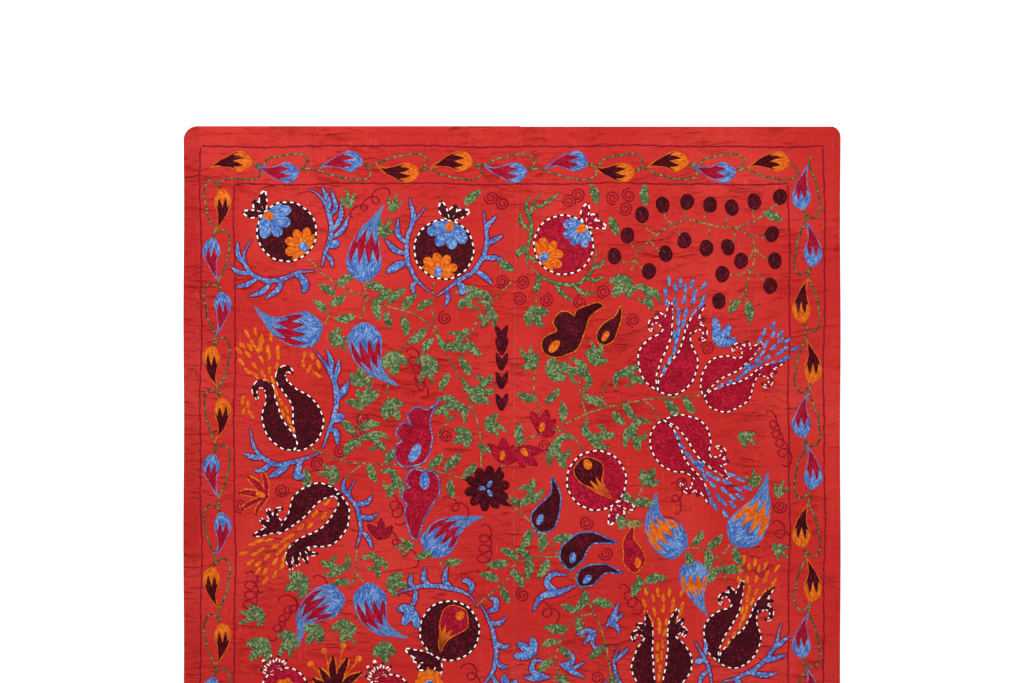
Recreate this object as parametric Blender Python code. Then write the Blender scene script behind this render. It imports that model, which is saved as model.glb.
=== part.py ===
"""Suzani embroidered textile, lying flat and face up.

A cover of two red silk panels, joined down the middle with a seam that drifts a little, and
turned under along its outer edges. The embroidery is thread on top of these panels.
+Y runs up the cover, +Z is its face, and the origin is under the middle of its flat back.
Metres throughout.
"""

import math
from collections import namedtuple

import bmesh
import bpy

COVER_WIDTH = 1.40
COVER_LENGTH = 2.20
CLOTH_THICKNESS = 0.0014

# The outer edge is folded under and felled, and the panels' inner edges are turned once.
HEM_WIDTH = 0.017
HEM_RISE = 0.0011
SEAM_ALLOWANCE = 0.010
SEAM_RISE = 0.0007
FOLD_STEP = 0.003
CORNER_RADIUS = {"panel_left": 0.030, "panel_right": 0.023}

# The seam leans to the right near the upper end and runs nearly straight from there on.
JOIN_GAP = 0.0003
SEAM_OFFSET = 0.0035
SEAM_LEAN = 0.0145
SEAM_LEAN_LENGTH = 0.20

# Hand-cut outer edges wander inwards by this much over this length.
EDGE_WANDER = 0.0012
EDGE_WANDER_LENGTH = 0.47
EDGE_WANDER_PHASE = {"panel_left": 3.3, "panel_right": 3.7}

COLUMN_SPACING = 0.036
ROW_SPACING = 0.030
CORNER_STEPS = 5
SAME_PLACE = 1e-6
SHARP_EDGE_DEGREES = 40

# Soft ridges that the tight stitching draws up in the cloth between the motifs.
Crease = namedtuple("Crease", "x y length turn width rise")
CREASES = (
    Crease(x=-0.300, y=1.035, length=0.150, turn=-58, width=0.030, rise=0.0010),
    Crease(x=0.205, y=1.040, length=0.240, turn=4, width=0.034, rise=0.0007),
    Crease(x=-0.395, y=0.720, length=0.130, turn=12, width=0.030, rise=0.0008),
    Crease(x=0.290, y=0.505, length=0.120, turn=-20, width=0.032, rise=0.0007),
    Crease(x=0.560, y=0.345, length=0.210, turn=3, width=0.034, rise=0.0010),
    Crease(x=-0.545, y=0.190, length=0.170, turn=-6, width=0.036, rise=0.0009),
    Crease(x=0.110, y=0.120, length=0.140, turn=16, width=0.030, rise=0.0007),
    Crease(x=-0.215, y=-0.040, length=0.260, turn=-3, width=0.038, rise=0.0010),
    Crease(x=0.330, y=-0.230, length=0.220, turn=5, width=0.034, rise=0.0009),
    Crease(x=-0.480, y=-0.455, length=0.180, turn=9, width=0.032, rise=0.0008),
    Crease(x=0.180, y=-0.640, length=0.200, turn=-8, width=0.036, rise=0.0009),
    Crease(x=-0.250, y=-0.905, length=0.240, turn=4, width=0.034, rise=0.0008),
    Crease(x=0.470, y=-1.020, length=0.160, turn=-40, width=0.030, rise=0.0008),
)

SILK_RED = (0.565, 0.030, 0.024)
SILK_RED_DEEP = (0.545, 0.028, 0.022)
SILK_ROUGHNESS = 0.55


def new_collection(name):
    collection = bpy.data.collections.new(name)
    bpy.context.scene.collection.children.link(collection)
    return collection


def silk_material(name, color):
    material = bpy.data.materials.new(name)
    material.use_nodes = True
    shader = material.node_tree.nodes["Principled BSDF"]
    shader.inputs["Base Color"].default_value = (*color, 1.0)
    shader.inputs["Roughness"].default_value = SILK_ROUGHNESS
    shader.inputs["Metallic"].default_value = 0.0
    return material


def seam_x(y):
    """Sideways place of the seam at a height on the cover."""
    below_top = COVER_LENGTH / 2 - y
    return SEAM_OFFSET + SEAM_LEAN * math.exp(-below_top / SEAM_LEAN_LENGTH)


def outer_x(name, y):
    """Half width of the cover at a height, with its rounded corners and its wandering cut."""
    radius = CORNER_RADIUS[name]
    into_corner = max(0.0, abs(y) - (COVER_LENGTH / 2 - radius))
    drop = radius - math.sqrt(max(0.0, radius**2 - into_corner**2))
    swing = math.cos(math.tau * y / EDGE_WANDER_LENGTH + EDGE_WANDER_PHASE[name])
    wander = EDGE_WANDER * (1 - swing) / 2
    return COVER_WIDTH / 2 - drop - wander * (1 - into_corner / radius)


def evenly(start, end, spacing):
    """Places from start to end, both included, about one spacing apart."""
    count = max(1, round((end - start) / spacing))
    return [start + (end - start) * i / count for i in range(count + 1)]


def column_shares():
    """Where the columns of a panel lie, as shares of the way from the seam to the outer edge."""
    width = COVER_WIDTH / 2
    inner = [0.0, SEAM_ALLOWANCE / width]
    field_start = SEAM_ALLOWANCE + FOLD_STEP
    field_end = width - HEM_WIDTH - FOLD_STEP
    field = [x / width for x in evenly(field_start, field_end, COLUMN_SPACING)]
    return [*inner, *field, 1 - HEM_WIDTH / width, 1.0]


def row_heights(name):
    """Where the rows of a panel lie, closer together around its corners."""
    radius = CORNER_RADIUS[name]
    top = COVER_LENGTH / 2
    turns = [math.pi / 2 * i / CORNER_STEPS for i in range(1, CORNER_STEPS + 1)]
    corner = [top - radius + radius * math.sin(turn) for turn in turns]
    folds = [top - HEM_WIDTH - FOLD_STEP, top - HEM_WIDTH]
    end = sorted({round(y, 5) for y in (*corner, *folds)})
    field = evenly(-end[0] + FOLD_STEP, end[0] - FOLD_STEP, ROW_SPACING)
    return [*(-y for y in reversed(end)), *field, *end]


def crease_rise(x, y):
    """Height that the soft ridges add at a place."""
    rise = 0.0
    for crease in CREASES:
        turn = math.radians(crease.turn)
        along = (x - crease.x) * math.cos(turn) + (y - crease.y) * math.sin(turn)
        across = (y - crease.y) * math.cos(turn) - (x - crease.x) * math.sin(turn)
        reach = (2 * along / crease.length) ** 2 + (2 * across / crease.width) ** 2
        rise += crease.rise * math.exp(-reach)
    return rise


def face_height(name, x, y):
    """Height of the cloth's face over its flat back."""
    from_side = outer_x(name, y) - abs(x)
    from_end = COVER_LENGTH / 2 - abs(y)
    from_seam = abs(x - seam_x(y))
    height = CLOTH_THICKNESS
    if min(from_side, from_end) < HEM_WIDTH + SAME_PLACE:
        height += HEM_RISE
    elif from_seam < SEAM_ALLOWANCE + SAME_PLACE:
        height += SEAM_RISE
    else:
        height += crease_rise(x, y)
    return height


def build_panel(name, side, material, collection):
    """One panel of the cover, on the side -1 (left) or +1 (right) of the seam."""
    columns = column_shares()
    rows = row_heights(name)
    if side < 0:
        columns.reverse()
    mesh_edit = bmesh.new()
    bmesh.ops.create_grid(
        mesh_edit, x_segments=len(columns) - 1, y_segments=len(rows) - 1, size=0.5
    )
    for vert in mesh_edit.verts:
        share = columns[round((vert.co.x + 0.5) * (len(columns) - 1))]
        y = rows[round((vert.co.y + 0.5) * (len(rows) - 1))]
        inner = seam_x(y) + side * JOIN_GAP / 2
        outer = side * outer_x(name, y)
        x = inner + (outer - inner) * share
        vert.co = (x, y, face_height(name, x, y))

    back = bmesh.ops.extrude_face_region(mesh_edit, geom=mesh_edit.faces[:])
    for item in back["geom"]:
        if isinstance(item, bmesh.types.BMVert):
            item.co.z = 0.0
    bmesh.ops.recalc_face_normals(mesh_edit, faces=mesh_edit.faces[:])

    mesh = bpy.data.meshes.new(name)
    mesh_edit.to_mesh(mesh)
    mesh_edit.free()
    mesh.shade_smooth()
    mesh.set_sharp_from_angle(angle=math.radians(SHARP_EDGE_DEGREES))
    mesh.materials.append(material)
    panel = bpy.data.objects.new(name, mesh)
    collection.objects.link(panel)
    return panel


for leftover in list(bpy.data.objects):
    bpy.data.objects.remove(leftover)

cover = new_collection("suzani_cover")
build_panel("panel_left", -1, silk_material("silk_left", SILK_RED), cover)
build_panel("panel_right", 1, silk_material("silk_right", SILK_RED_DEEP), cover)
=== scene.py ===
"""A suzani: an embroidered cover of two red silk panels, laid flat and face up."""

import math
from collections import namedtuple

import bpy
import numpy as np
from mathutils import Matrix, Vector


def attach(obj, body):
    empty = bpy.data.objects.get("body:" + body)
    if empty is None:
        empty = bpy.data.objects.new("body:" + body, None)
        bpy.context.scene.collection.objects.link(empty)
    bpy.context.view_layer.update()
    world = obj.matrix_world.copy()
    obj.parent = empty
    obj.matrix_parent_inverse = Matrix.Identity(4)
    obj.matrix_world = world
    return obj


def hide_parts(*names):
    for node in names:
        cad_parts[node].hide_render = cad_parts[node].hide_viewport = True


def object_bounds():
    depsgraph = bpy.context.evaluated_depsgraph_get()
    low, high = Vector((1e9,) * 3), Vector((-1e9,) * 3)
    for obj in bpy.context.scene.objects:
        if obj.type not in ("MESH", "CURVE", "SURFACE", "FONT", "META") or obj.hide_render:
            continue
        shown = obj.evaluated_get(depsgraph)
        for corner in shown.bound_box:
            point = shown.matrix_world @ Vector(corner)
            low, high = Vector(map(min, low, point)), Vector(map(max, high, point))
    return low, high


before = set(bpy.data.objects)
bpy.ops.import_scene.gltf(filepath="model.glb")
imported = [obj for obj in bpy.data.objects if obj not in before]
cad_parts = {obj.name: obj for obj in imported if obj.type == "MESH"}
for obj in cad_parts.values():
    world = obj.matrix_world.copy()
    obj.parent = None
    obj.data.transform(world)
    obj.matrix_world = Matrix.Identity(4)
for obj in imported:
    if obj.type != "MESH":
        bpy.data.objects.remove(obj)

cad_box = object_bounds()
(left, bottom, back), (right, top, _) = cad_box

# ---------------------------------------------------------------------------------------------
# Studio: a plain white floor, a large soft light from the upper left, a weaker one from the
# right, an even white surround, and the camera square above the upper part of the cover.
# ---------------------------------------------------------------------------------------------
FLOOR_SIZE = 16.0
FLOOR_GAP = 0.0006
FLOOR_WHITE = (0.93, 0.93, 0.93, 1)
FLOOR_ROUGHNESS = 0.9
SURROUND_WHITE = (1, 1, 1, 1)
CAMERA_LENS = 85.0
CAMERA_BELOW_TOP = 0.459
VIEW_WIDTH = 2.182
SENSOR_WIDTH = 36.0
Lamp = namedtuple("Lamp", "name place size watts")
LAMPS = (
    Lamp("key_light", (-0.7, 2.3, 3.3), 1.6, 170.0),
    Lamp("fill_light", (2.2, -0.8, 3.2), 2.4, 52.0),
)
SURROUND_LIGHT = 0.50

bpy.ops.object.select_all(action="DESELECT")
bpy.ops.mesh.primitive_plane_add(size=FLOOR_SIZE, location=(0, 0, back - FLOOR_GAP))
floor = bpy.context.object
floor.name = "floor"
floor_paint = bpy.data.materials.new("floor_paint")
floor_paint.use_nodes = True
floor_shader = floor_paint.node_tree.nodes["Principled BSDF"]
floor_shader.inputs["Base Color"].default_value = FLOOR_WHITE
floor_shader.inputs["Roughness"].default_value = FLOOR_ROUGHNESS
floor.data.materials.append(floor_paint)

scene = bpy.context.scene
scene.view_settings.view_transform = "Standard"
scene.view_settings.look = "None"
surround = bpy.data.worlds.new("surround")
surround.use_nodes = True
background = surround.node_tree.nodes["Background"]
background.inputs["Color"].default_value = SURROUND_WHITE
background.inputs["Strength"].default_value = SURROUND_LIGHT
scene.world = surround

aim = np.array([(left + right) / 2, top - CAMERA_BELOW_TOP, back])
for lamp in LAMPS:
    light = bpy.data.lights.new(lamp.name, "AREA")
    light.size = lamp.size
    light.energy = lamp.watts
    lamp_object = bpy.data.objects.new(lamp.name, light)
    lamp_object.location = lamp.place
    lamp_object.rotation_euler = Vector(aim - lamp.place).to_track_quat("-Z", "Y").to_euler()
    scene.collection.objects.link(lamp_object)

camera_data = bpy.data.cameras.new("camera")
camera_data.lens = CAMERA_LENS
camera_data.sensor_width = SENSOR_WIDTH
camera = bpy.data.objects.new("camera", camera_data)
camera.location = (*aim[:2], VIEW_WIDTH * CAMERA_LENS / SENSOR_WIDTH)
scene.collection.objects.link(camera)
scene.camera = camera

# ---------------------------------------------------------------------------------------------
# Ground cloth: two panels of hand-woven red silk, each folded under along its outer edges and
# joined to the other with a seam that drifts. The tight stitching draws up short soft puckers.
# ---------------------------------------------------------------------------------------------
CLOTH = 0.0012
HEM_WIDTH = 0.017
HEM_RISE = 0.0011
SEAM_ALLOWANCE = 0.009
SEAM_RISE = 0.0007
SEAM_DIP = 0.0010
FOLD_SOFTNESS = 0.0022
CORNER_RADIUS = {"panel_left": 0.030, "panel_right": 0.023}
JOIN_GAP = 0.0003
SEAM_OFFSET = 0.0035
SEAM_LEAN = 0.0145
SEAM_LEAN_LENGTH = 0.20
EDGE_WANDER = 0.0012
EDGE_WANDER_LENGTH = 0.47
EDGE_WANDER_PHASE = {"panel_left": 3.3, "panel_right": 3.7}
MESH_STEP = 0.0065
MAP_STEP = 0.004
LEAST_ROW_GAP = 0.0004
SMOOTH_UNDER_DEGREES = 50
# Places from the seam and from the cut edge where the mesh is closer, in millimetres.
NEAR_SEAM = (0, 1.2, 2.5, 6, 8, 10, 12)
NEAR_SIDE = (20, 18.5, 17, 15.5, 13, 7, 3.5, 1.6, 0.7, 0)
NEAR_END = (20, 18.5, 17, 15.5, 3.5, 1.6, 0.7, 0)
ROUND_CORNER = (15, 30, 42, 53, 63, 72, 80, 86)

# The creases that show most: centre, length, direction, width and height.
Crease = namedtuple("Crease", "x y length turn width rise")
CREASES = (
    Crease(x=-0.300, y=1.035, length=0.150, turn=-58, width=0.020, rise=0.0012),
    Crease(x=-0.262, y=1.072, length=0.120, turn=24, width=0.018, rise=0.0009),
    Crease(x=-0.560, y=1.040, length=0.170, turn=-14, width=0.020, rise=0.0010),
    Crease(x=0.205, y=1.040, length=0.240, turn=4, width=0.024, rise=0.0009),
    Crease(x=-0.395, y=0.720, length=0.130, turn=12, width=0.018, rise=0.0010),
    Crease(x=0.290, y=0.505, length=0.120, turn=-20, width=0.020, rise=0.0009),
    Crease(x=0.560, y=0.345, length=0.210, turn=3, width=0.022, rise=0.0012),
    Crease(x=-0.545, y=0.190, length=0.170, turn=-6, width=0.022, rise=0.0011),
    Crease(x=-0.660, y=0.300, length=0.320, turn=84, width=0.020, rise=0.0010),
    Crease(x=-0.655, y=0.700, length=0.360, turn=93, width=0.022, rise=0.0009),
    Crease(x=0.110, y=0.120, length=0.140, turn=16, width=0.020, rise=0.0009),
    Crease(x=-0.215, y=-0.040, length=0.260, turn=-3, width=0.024, rise=0.0011),
    Crease(x=0.330, y=-0.230, length=0.220, turn=5, width=0.022, rise=0.0011),
    Crease(x=-0.480, y=-0.455, length=0.180, turn=9, width=0.020, rise=0.0010),
    Crease(x=0.180, y=-0.640, length=0.200, turn=-8, width=0.022, rise=0.0011),
    Crease(x=-0.250, y=-0.905, length=0.240, turn=4, width=0.022, rise=0.0010),
    Crease(x=0.470, y=-1.020, length=0.160, turn=-40, width=0.020, rise=0.0010),
)
PUCKER_COUNT = 620
PUCKER_LENGTH = (0.030, 0.095)
PUCKER_WIDTH = (0.008, 0.015)
PUCKER_RISE = (0.0005, 0.0012)
PUCKER_TURN = 16
PUCKER_MARGIN = 0.115


def seam_x(y):
    """Sideways place of the seam at a height on the cover."""
    return SEAM_OFFSET + SEAM_LEAN * np.exp((y - top) / SEAM_LEAN_LENGTH)


def outer_x(name, y):
    """Half width of the cover at a height, with rounded corners and a slightly wandering cut."""
    radius = CORNER_RADIUS[name]
    into_corner = np.maximum(0, np.abs(y) - (top - radius))
    drop = radius - np.sqrt(np.maximum(0, radius**2 - into_corner**2))
    swing = np.cos(math.tau * y / EDGE_WANDER_LENGTH + EDGE_WANDER_PHASE[name])
    return right - drop - EDGE_WANDER * (1 - swing) / 2 * (1 - into_corner / radius)


def soft_step(distance):
    """0 well below zero, 1 well above, with the softness of a pressed fold between."""
    return 0.5 + 0.5 * np.tanh(2 * distance / FOLD_SOFTNESS)


def fold_profile(x, y, crease):
    """Height of one crease: a trough with a lower ridge beside it, fading towards its ends."""
    turn = math.radians(crease.turn)
    along = (x - crease.x) * math.cos(turn) + (y - crease.y) * math.sin(turn)
    across = (y - crease.y) * math.cos(turn) - (x - crease.x) * math.sin(turn)
    across = across + 0.1 * crease.width * np.sin(7 * along / crease.length)
    ends = np.exp(-((2 * along / crease.length) ** 2))
    ridge = np.exp(-((2.4 * across / crease.width) ** 2))
    trough = np.exp(-((2.8 * across / crease.width + 1.5) ** 2))
    return crease.rise * ends * (ridge - 0.75 * trough)


draw = np.random.default_rng(11)
puckers = [
    Crease(
        draw.uniform(left + PUCKER_MARGIN, right - PUCKER_MARGIN),
        draw.uniform(bottom + PUCKER_MARGIN, top - PUCKER_MARGIN),
        draw.uniform(*PUCKER_LENGTH),
        draw.normal(0, PUCKER_TURN),
        draw.uniform(*PUCKER_WIDTH),
        draw.uniform(*PUCKER_RISE),
    )
    for _ in range(PUCKER_COUNT)
]

# The height of the cloth's face is worked out once, on a fine map, and read from there.
map_x = np.arange(left, right + MAP_STEP, MAP_STEP)
map_y = np.arange(bottom, top + MAP_STEP, MAP_STEP)
grid_x, grid_y = np.meshgrid(map_x, map_y)
relief = np.zeros_like(grid_x)
for crease in (*CREASES, *puckers):
    reach = crease.length + crease.width
    columns = slice(*np.searchsorted(map_x, (crease.x - reach, crease.x + reach)))
    lines = slice(*np.searchsorted(map_y, (crease.y - reach, crease.y + reach)))
    near = (lines, columns)
    relief[near] += fold_profile(grid_x[near], grid_y[near], crease)
relief = np.clip(relief, -0.8 * CLOTH, 3 * CLOTH)


def cloth_face(x, y):
    """Height of the cloth's face at places on the cover."""
    column = np.clip((x - left) / MAP_STEP, 0, len(map_x) - 1.001)
    line = np.clip((y - bottom) / MAP_STEP, 0, len(map_y) - 1.001)
    i, j = column.astype(int), line.astype(int)
    a, b = column - i, line - j
    low = relief[j, i] * (1 - a) + relief[j, i + 1] * a
    high = relief[j + 1, i] * (1 - a) + relief[j + 1, i + 1] * a
    wave = low * (1 - b) + high * b
    side = np.where(x < seam_x(y), outer_x("panel_left", y), outer_x("panel_right", y))
    inwards = np.minimum(side - np.abs(x), top - np.abs(y))
    from_seam = np.abs(x - seam_x(y))
    field = soft_step(inwards - HEM_WIDTH)
    allowance = soft_step(SEAM_ALLOWANCE - from_seam)
    dip = np.exp(-((from_seam / FOLD_SOFTNESS) ** 2))
    hem = HEM_RISE * (1 - field)
    roll = CLOTH * 0.7 * np.exp(-((inwards / FOLD_SOFTNESS) ** 2))
    return CLOTH + hem - roll + wave * field + SEAM_RISE * allowance - SEAM_DIP * dip


def evenly(start, end, spacing):
    """Places from start to end, both included, about one spacing apart."""
    return np.linspace(start, end, max(1, round((end - start) / spacing)) + 1)


def panel_columns():
    """Shares of the way from the seam to the outer edge, closer together at the folds."""
    seam = np.array(NEAR_SEAM) / 1000
    hem = right - np.array(NEAR_SIDE) / 1000
    field = evenly(seam[-1] + 0.005, hem[0] - 0.005, MESH_STEP)
    return np.concatenate([seam, field, hem]) / right


def panel_rows(name):
    """Heights of the rows of a panel, closer together at its hems and corners."""
    radius = CORNER_RADIUS[name]
    corner = top - radius + radius * np.sin(np.radians(ROUND_CORNER))
    folds = top - np.array(NEAR_END) / 1000
    ends = np.unique(np.round(np.concatenate([corner, folds]), 4))
    ends = ends[np.concatenate([[True], np.diff(ends) > LEAST_ROW_GAP])]
    field = evenly(-ends[0] + 0.006, ends[0] - 0.006, MESH_STEP)
    return np.concatenate([-ends[::-1], field, ends])


class Socket:
    """An output of a shader node that takes part in Python arithmetic."""

    def __init__(self, finish, socket):
        self.finish = finish
        self.socket = socket

    def maths(self, operation, *others):
        return self.finish.node("ShaderNodeMath", {"operation": operation}, [self, *others])

    def __add__(self, other):
        return self.maths("ADD", other)

    def __sub__(self, other):
        return self.maths("SUBTRACT", other)

    def __rsub__(self, other):
        return self.finish.node("ShaderNodeMath", {"operation": "SUBTRACT"}, [other, self])

    def __mul__(self, other):
        return self.maths("MULTIPLY", other)

    def __gt__(self, other):
        return self.maths("GREATER_THAN", other)

    __radd__ = __add__
    __rmul__ = __mul__

    def floor(self):
        return self.maths("FLOOR")

    def part(self):
        return self.maths("FRACT")

    def size(self):
        return self.maths("ABSOLUTE")

    def held(self, low=0.0, high=1.0):
        """The value kept between low and high."""
        return self.maths("MAXIMUM", low).maths("MINIMUM", high)

    def between(self, start, end):
        """0 at start, 1 at end, smooth between."""
        return self.finish.node(
            "ShaderNodeMapRange",
            {"interpolation_type": "SMOOTHSTEP"},
            {"Value": self, "From Min": start, "From Max": end},
        )


class Finish:
    """A material under construction: one Principled shader and the nodes that feed it."""

    def __init__(self, name, **fixed):
        self.material = bpy.data.materials.new(name)
        self.material.use_nodes = True
        self.tree = self.material.node_tree
        self.shader = self.tree.nodes["Principled BSDF"]
        for socket, value in fixed.items():
            self.shader.inputs[socket.replace("_", " ")].default_value = value

    def node(self, kind, settings=None, inputs=(), output=0):
        """Add a node: its settings first, then the values or links of its sockets."""
        made = self.tree.nodes.new(kind)
        for setting, value in (settings or {}).items():
            setattr(made, setting, value)
        pairs = inputs.items() if isinstance(inputs, dict) else enumerate(inputs)
        for key, value in pairs:
            if isinstance(value, Socket):
                self.tree.links.new(value.socket, made.inputs[key])
            else:
                made.inputs[key].default_value = value
        return Socket(self, made.outputs[output])

    def mix(self, share, first, second):
        """A blend of two colours."""
        first, second = ((*c, 1) if isinstance(c, tuple) else c for c in (first, second))
        settings = {"data_type": "RGBA"}
        return self.node("ShaderNodeMix", settings, {0: share, 6: first, 7: second}, 2)

    def noise(self, place, scale, detail=2.0, stretch=(1, 1, 1), twist=0.0):
        """Noise from 0 to 1 at a place, stretched along an axis where stretch is under 1."""
        placed = self.node("ShaderNodeMapping", {}, {"Vector": place, "Scale": stretch})
        inputs = {"Vector": placed, "Scale": scale, "Detail": detail, "Distortion": twist}
        return self.node("ShaderNodeTexNoise", {}, inputs)

    def feed_shader(self, color, height, depth):
        """Feed the shader a colour and a relief of this depth."""
        bump = self.node("ShaderNodeBump", {}, {"Height": height, "Distance": depth, "Strength": 1.0})
        for socket, value in (("Base Color", color), ("Normal", bump)):
            self.tree.links.new(value.socket, self.shader.inputs[socket])
        return self.material


def silk_finish(name, red, deep, pale_slub_and_sheen):
    """Plain-woven silk: long uneven warp threads, slubs, a slow drift of the dye with pale patches of
    painted sheen, and painted shade along the puckers and down the left hem's fold.
    """
    finish = Finish(name, Roughness=0.58, Sheen_Weight=0.0, Specular_IOR_Level=0.06)
    place = finish.node("ShaderNodeTexCoord", {}, {}, "Object")
    warp = finish.noise(place, 1.0, 3.0, (620, 9, 1))
    weft = finish.noise(place, 1.0, 2.0, (24, 900, 1))
    slub = finish.noise(place, 1.0, 1.0, (260, 22, 1)).between(0.66, 0.78)
    drift = finish.noise(place, 3.1, 3.0)
    blotch = finish.noise(place, 17.0, 4.0, (1, 0.6, 1))
    draws = finish.noise(place, 1.0, 2.0, (12, 42, 1), 0.9)
    gathers = finish.noise(place, 1.0, 1.5, (30, 84, 1), 0.7)
    where = finish.noise(place, 6.5, 1.5).between(0.40, 0.62)
    # Puckers: painted shade where they darken the colour below, and real relief where they feed the bump.
    pucker_shade_and_relief = (draws.between(0.50, 0.72) + 0.6 * gathers.between(0.50, 0.74)) * (0.25 + 0.75 * where)
    # Painted shade: a darker band down the left hem, where the cloth is folded under.
    fold = 1 - finish.node("ShaderNodeSeparateXYZ", {}, [place]).between(-0.672, -0.662)
    threads = 0.55 * warp + 0.25 * weft + 0.2 * blotch
    # Besides the weave and the dye's drift, the tone holds painted shade along the puckers and down the
    # left hem's fold.
    tone = (threads * 1.3 - 0.15 + 0.6 * (drift - 0.5) - 0.5 * pucker_shade_and_relief - 0.3 * fold).held()
    color = finish.mix(tone, deep, red)
    # Paler silk: real slubs, and broad pale patches of painted sheen where the drift runs high.
    color = finish.mix((slub * 0.45 + (drift - 0.45).held() * 0.9).held(), color, pale_slub_and_sheen)
    return finish.feed_shader(color, 0.16 * threads + 0.05 * slub - pucker_shade_and_relief, 0.0040)


# The last colour is the pale of the slubs and of the painted sheen.
silk = silk_finish("red_silk", (0.425, 0.0175, 0.0135), (0.270, 0.008, 0.007), (0.530, 0.056, 0.042))

for side, name in ((-1, "panel_left"), (1, "panel_right")):
    columns, heights = panel_columns(), panel_rows(name)
    bpy.ops.object.select_all(action="DESELECT")
    bpy.ops.mesh.primitive_grid_add(
        x_subdivisions=len(columns) - 1, y_subdivisions=len(heights) - 1, size=1
    )
    panel = bpy.context.object
    panel.name = f"silk_{name}"
    count = len(panel.data.vertices)
    places = np.empty(count * 3)
    panel.data.vertices.foreach_get("co", places)
    places = places.reshape(-1, 3)
    column = np.rint((places[:, 0] + 0.5) * (len(columns) - 1)).astype(int)
    line = np.rint((places[:, 1] + 0.5) * (len(heights) - 1)).astype(int)
    share = columns[column] if side > 0 else columns[::-1][column]
    y = heights[line]
    inner = seam_x(y) + side * JOIN_GAP / 2
    x = inner + (side * outer_x(name, y) - inner) * share
    places[:] = np.stack([x, y, cloth_face(x, y)], axis=1)
    panel.data.vertices.foreach_set("co", places.ravel())

    # The cut edge is drawn down to the surface that the cover lies on, and the back closed.
    bpy.ops.object.mode_set(mode="EDIT")
    bpy.ops.mesh.select_all(action="SELECT")
    bpy.ops.mesh.region_to_loop()
    bpy.ops.mesh.extrude_edges_move(TRANSFORM_OT_translate={"value": (0, 0, -CLOTH)})
    bpy.ops.transform.resize(value=(1, 1, 0), center_override=(0, 0, back))
    bpy.ops.mesh.edge_face_add()
    bpy.ops.mesh.select_all(action="SELECT")
    bpy.ops.mesh.normals_make_consistent(inside=False)
    bpy.ops.object.mode_set(mode="OBJECT")
    bpy.ops.object.shade_smooth_by_angle(angle=math.radians(SMOOTH_UNDER_DEGREES))
    panel.data.materials.append(silk)
    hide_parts(name)
    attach(panel, "root")
    right - side * seam_x(0)

# ---------------------------------------------------------------------------------------------
# Thread: soft, barely twisted silk in a few hand-dyed colours, each uneven from stitch to
# stitch. It is worked in chain stitch, row beside row, so a row is a rib with a link for each
# stitch. The outlines of the pomegranates change thread every stitch, pale and black.
# ---------------------------------------------------------------------------------------------
# Lengths and widths on the hoop are in centimetres, heights above the cloth in metres.
CM = 0.01
STITCH = 0.40
FINE_STITCH = 0.33
DASH = 0.77
MESH_PITCH = 0.465
ROW = 0.37
SLIM_ROW = 0.25
LEAST_HALF_WIDTH = 0.02
BLUNT_ROW_END = 0.35
RIB_TOP = 0.00105
RIB_FOOT = 0.00055
SUNK = -0.0004
SLIGHT_LIFT = 0.0002
EDGE_LIFT = 0.0005
LOWEST_THREAD = 0.0002
HAND_WOBBLE = 0.0006
START_SPREAD = 40
EDGE_WIDTH = 0.46
EDGE_ROW_WIDTH = 0.42

Dye = namedtuple("Dye", "mid light dark light_share dark_share")
DYES = {
    "blue": Dye((0.0612, 0.142, 0.36), (0.184, 0.292, 0.475), (0.0204, 0.0474, 0.216), 0.34, 0.30),
    "orange": Dye((0.517, 0.0975, 0.0048), (0.623, 0.164, 0.0128), (0.344, 0.0429, 0.0024), 0.30, 0.30),
    "maroon": Dye((0.0478, 0.0008, 0.004), (0.11, 0.0032, 0.0128), (0.0166, 0.0004, 0.0016), 0.25, 0.40),
    "crimson": Dye((0.274, 0.0024, 0.0152), (0.365, 0.0096, 0.032), (0.141, 0.0008, 0.0072), 0.22, 0.30),
    "green": Dye((0.0722, 0.119, 0.0429), (0.205, 0.246, 0.109), (0.0213, 0.037, 0.0156), 0.36, 0.34),
    "wine": Dye((0.196, 0.0034, 0.0161), (0.264, 0.00765, 0.0238), (0.119, 0.0017, 0.0085), 0.25, 0.30),
}


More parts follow.
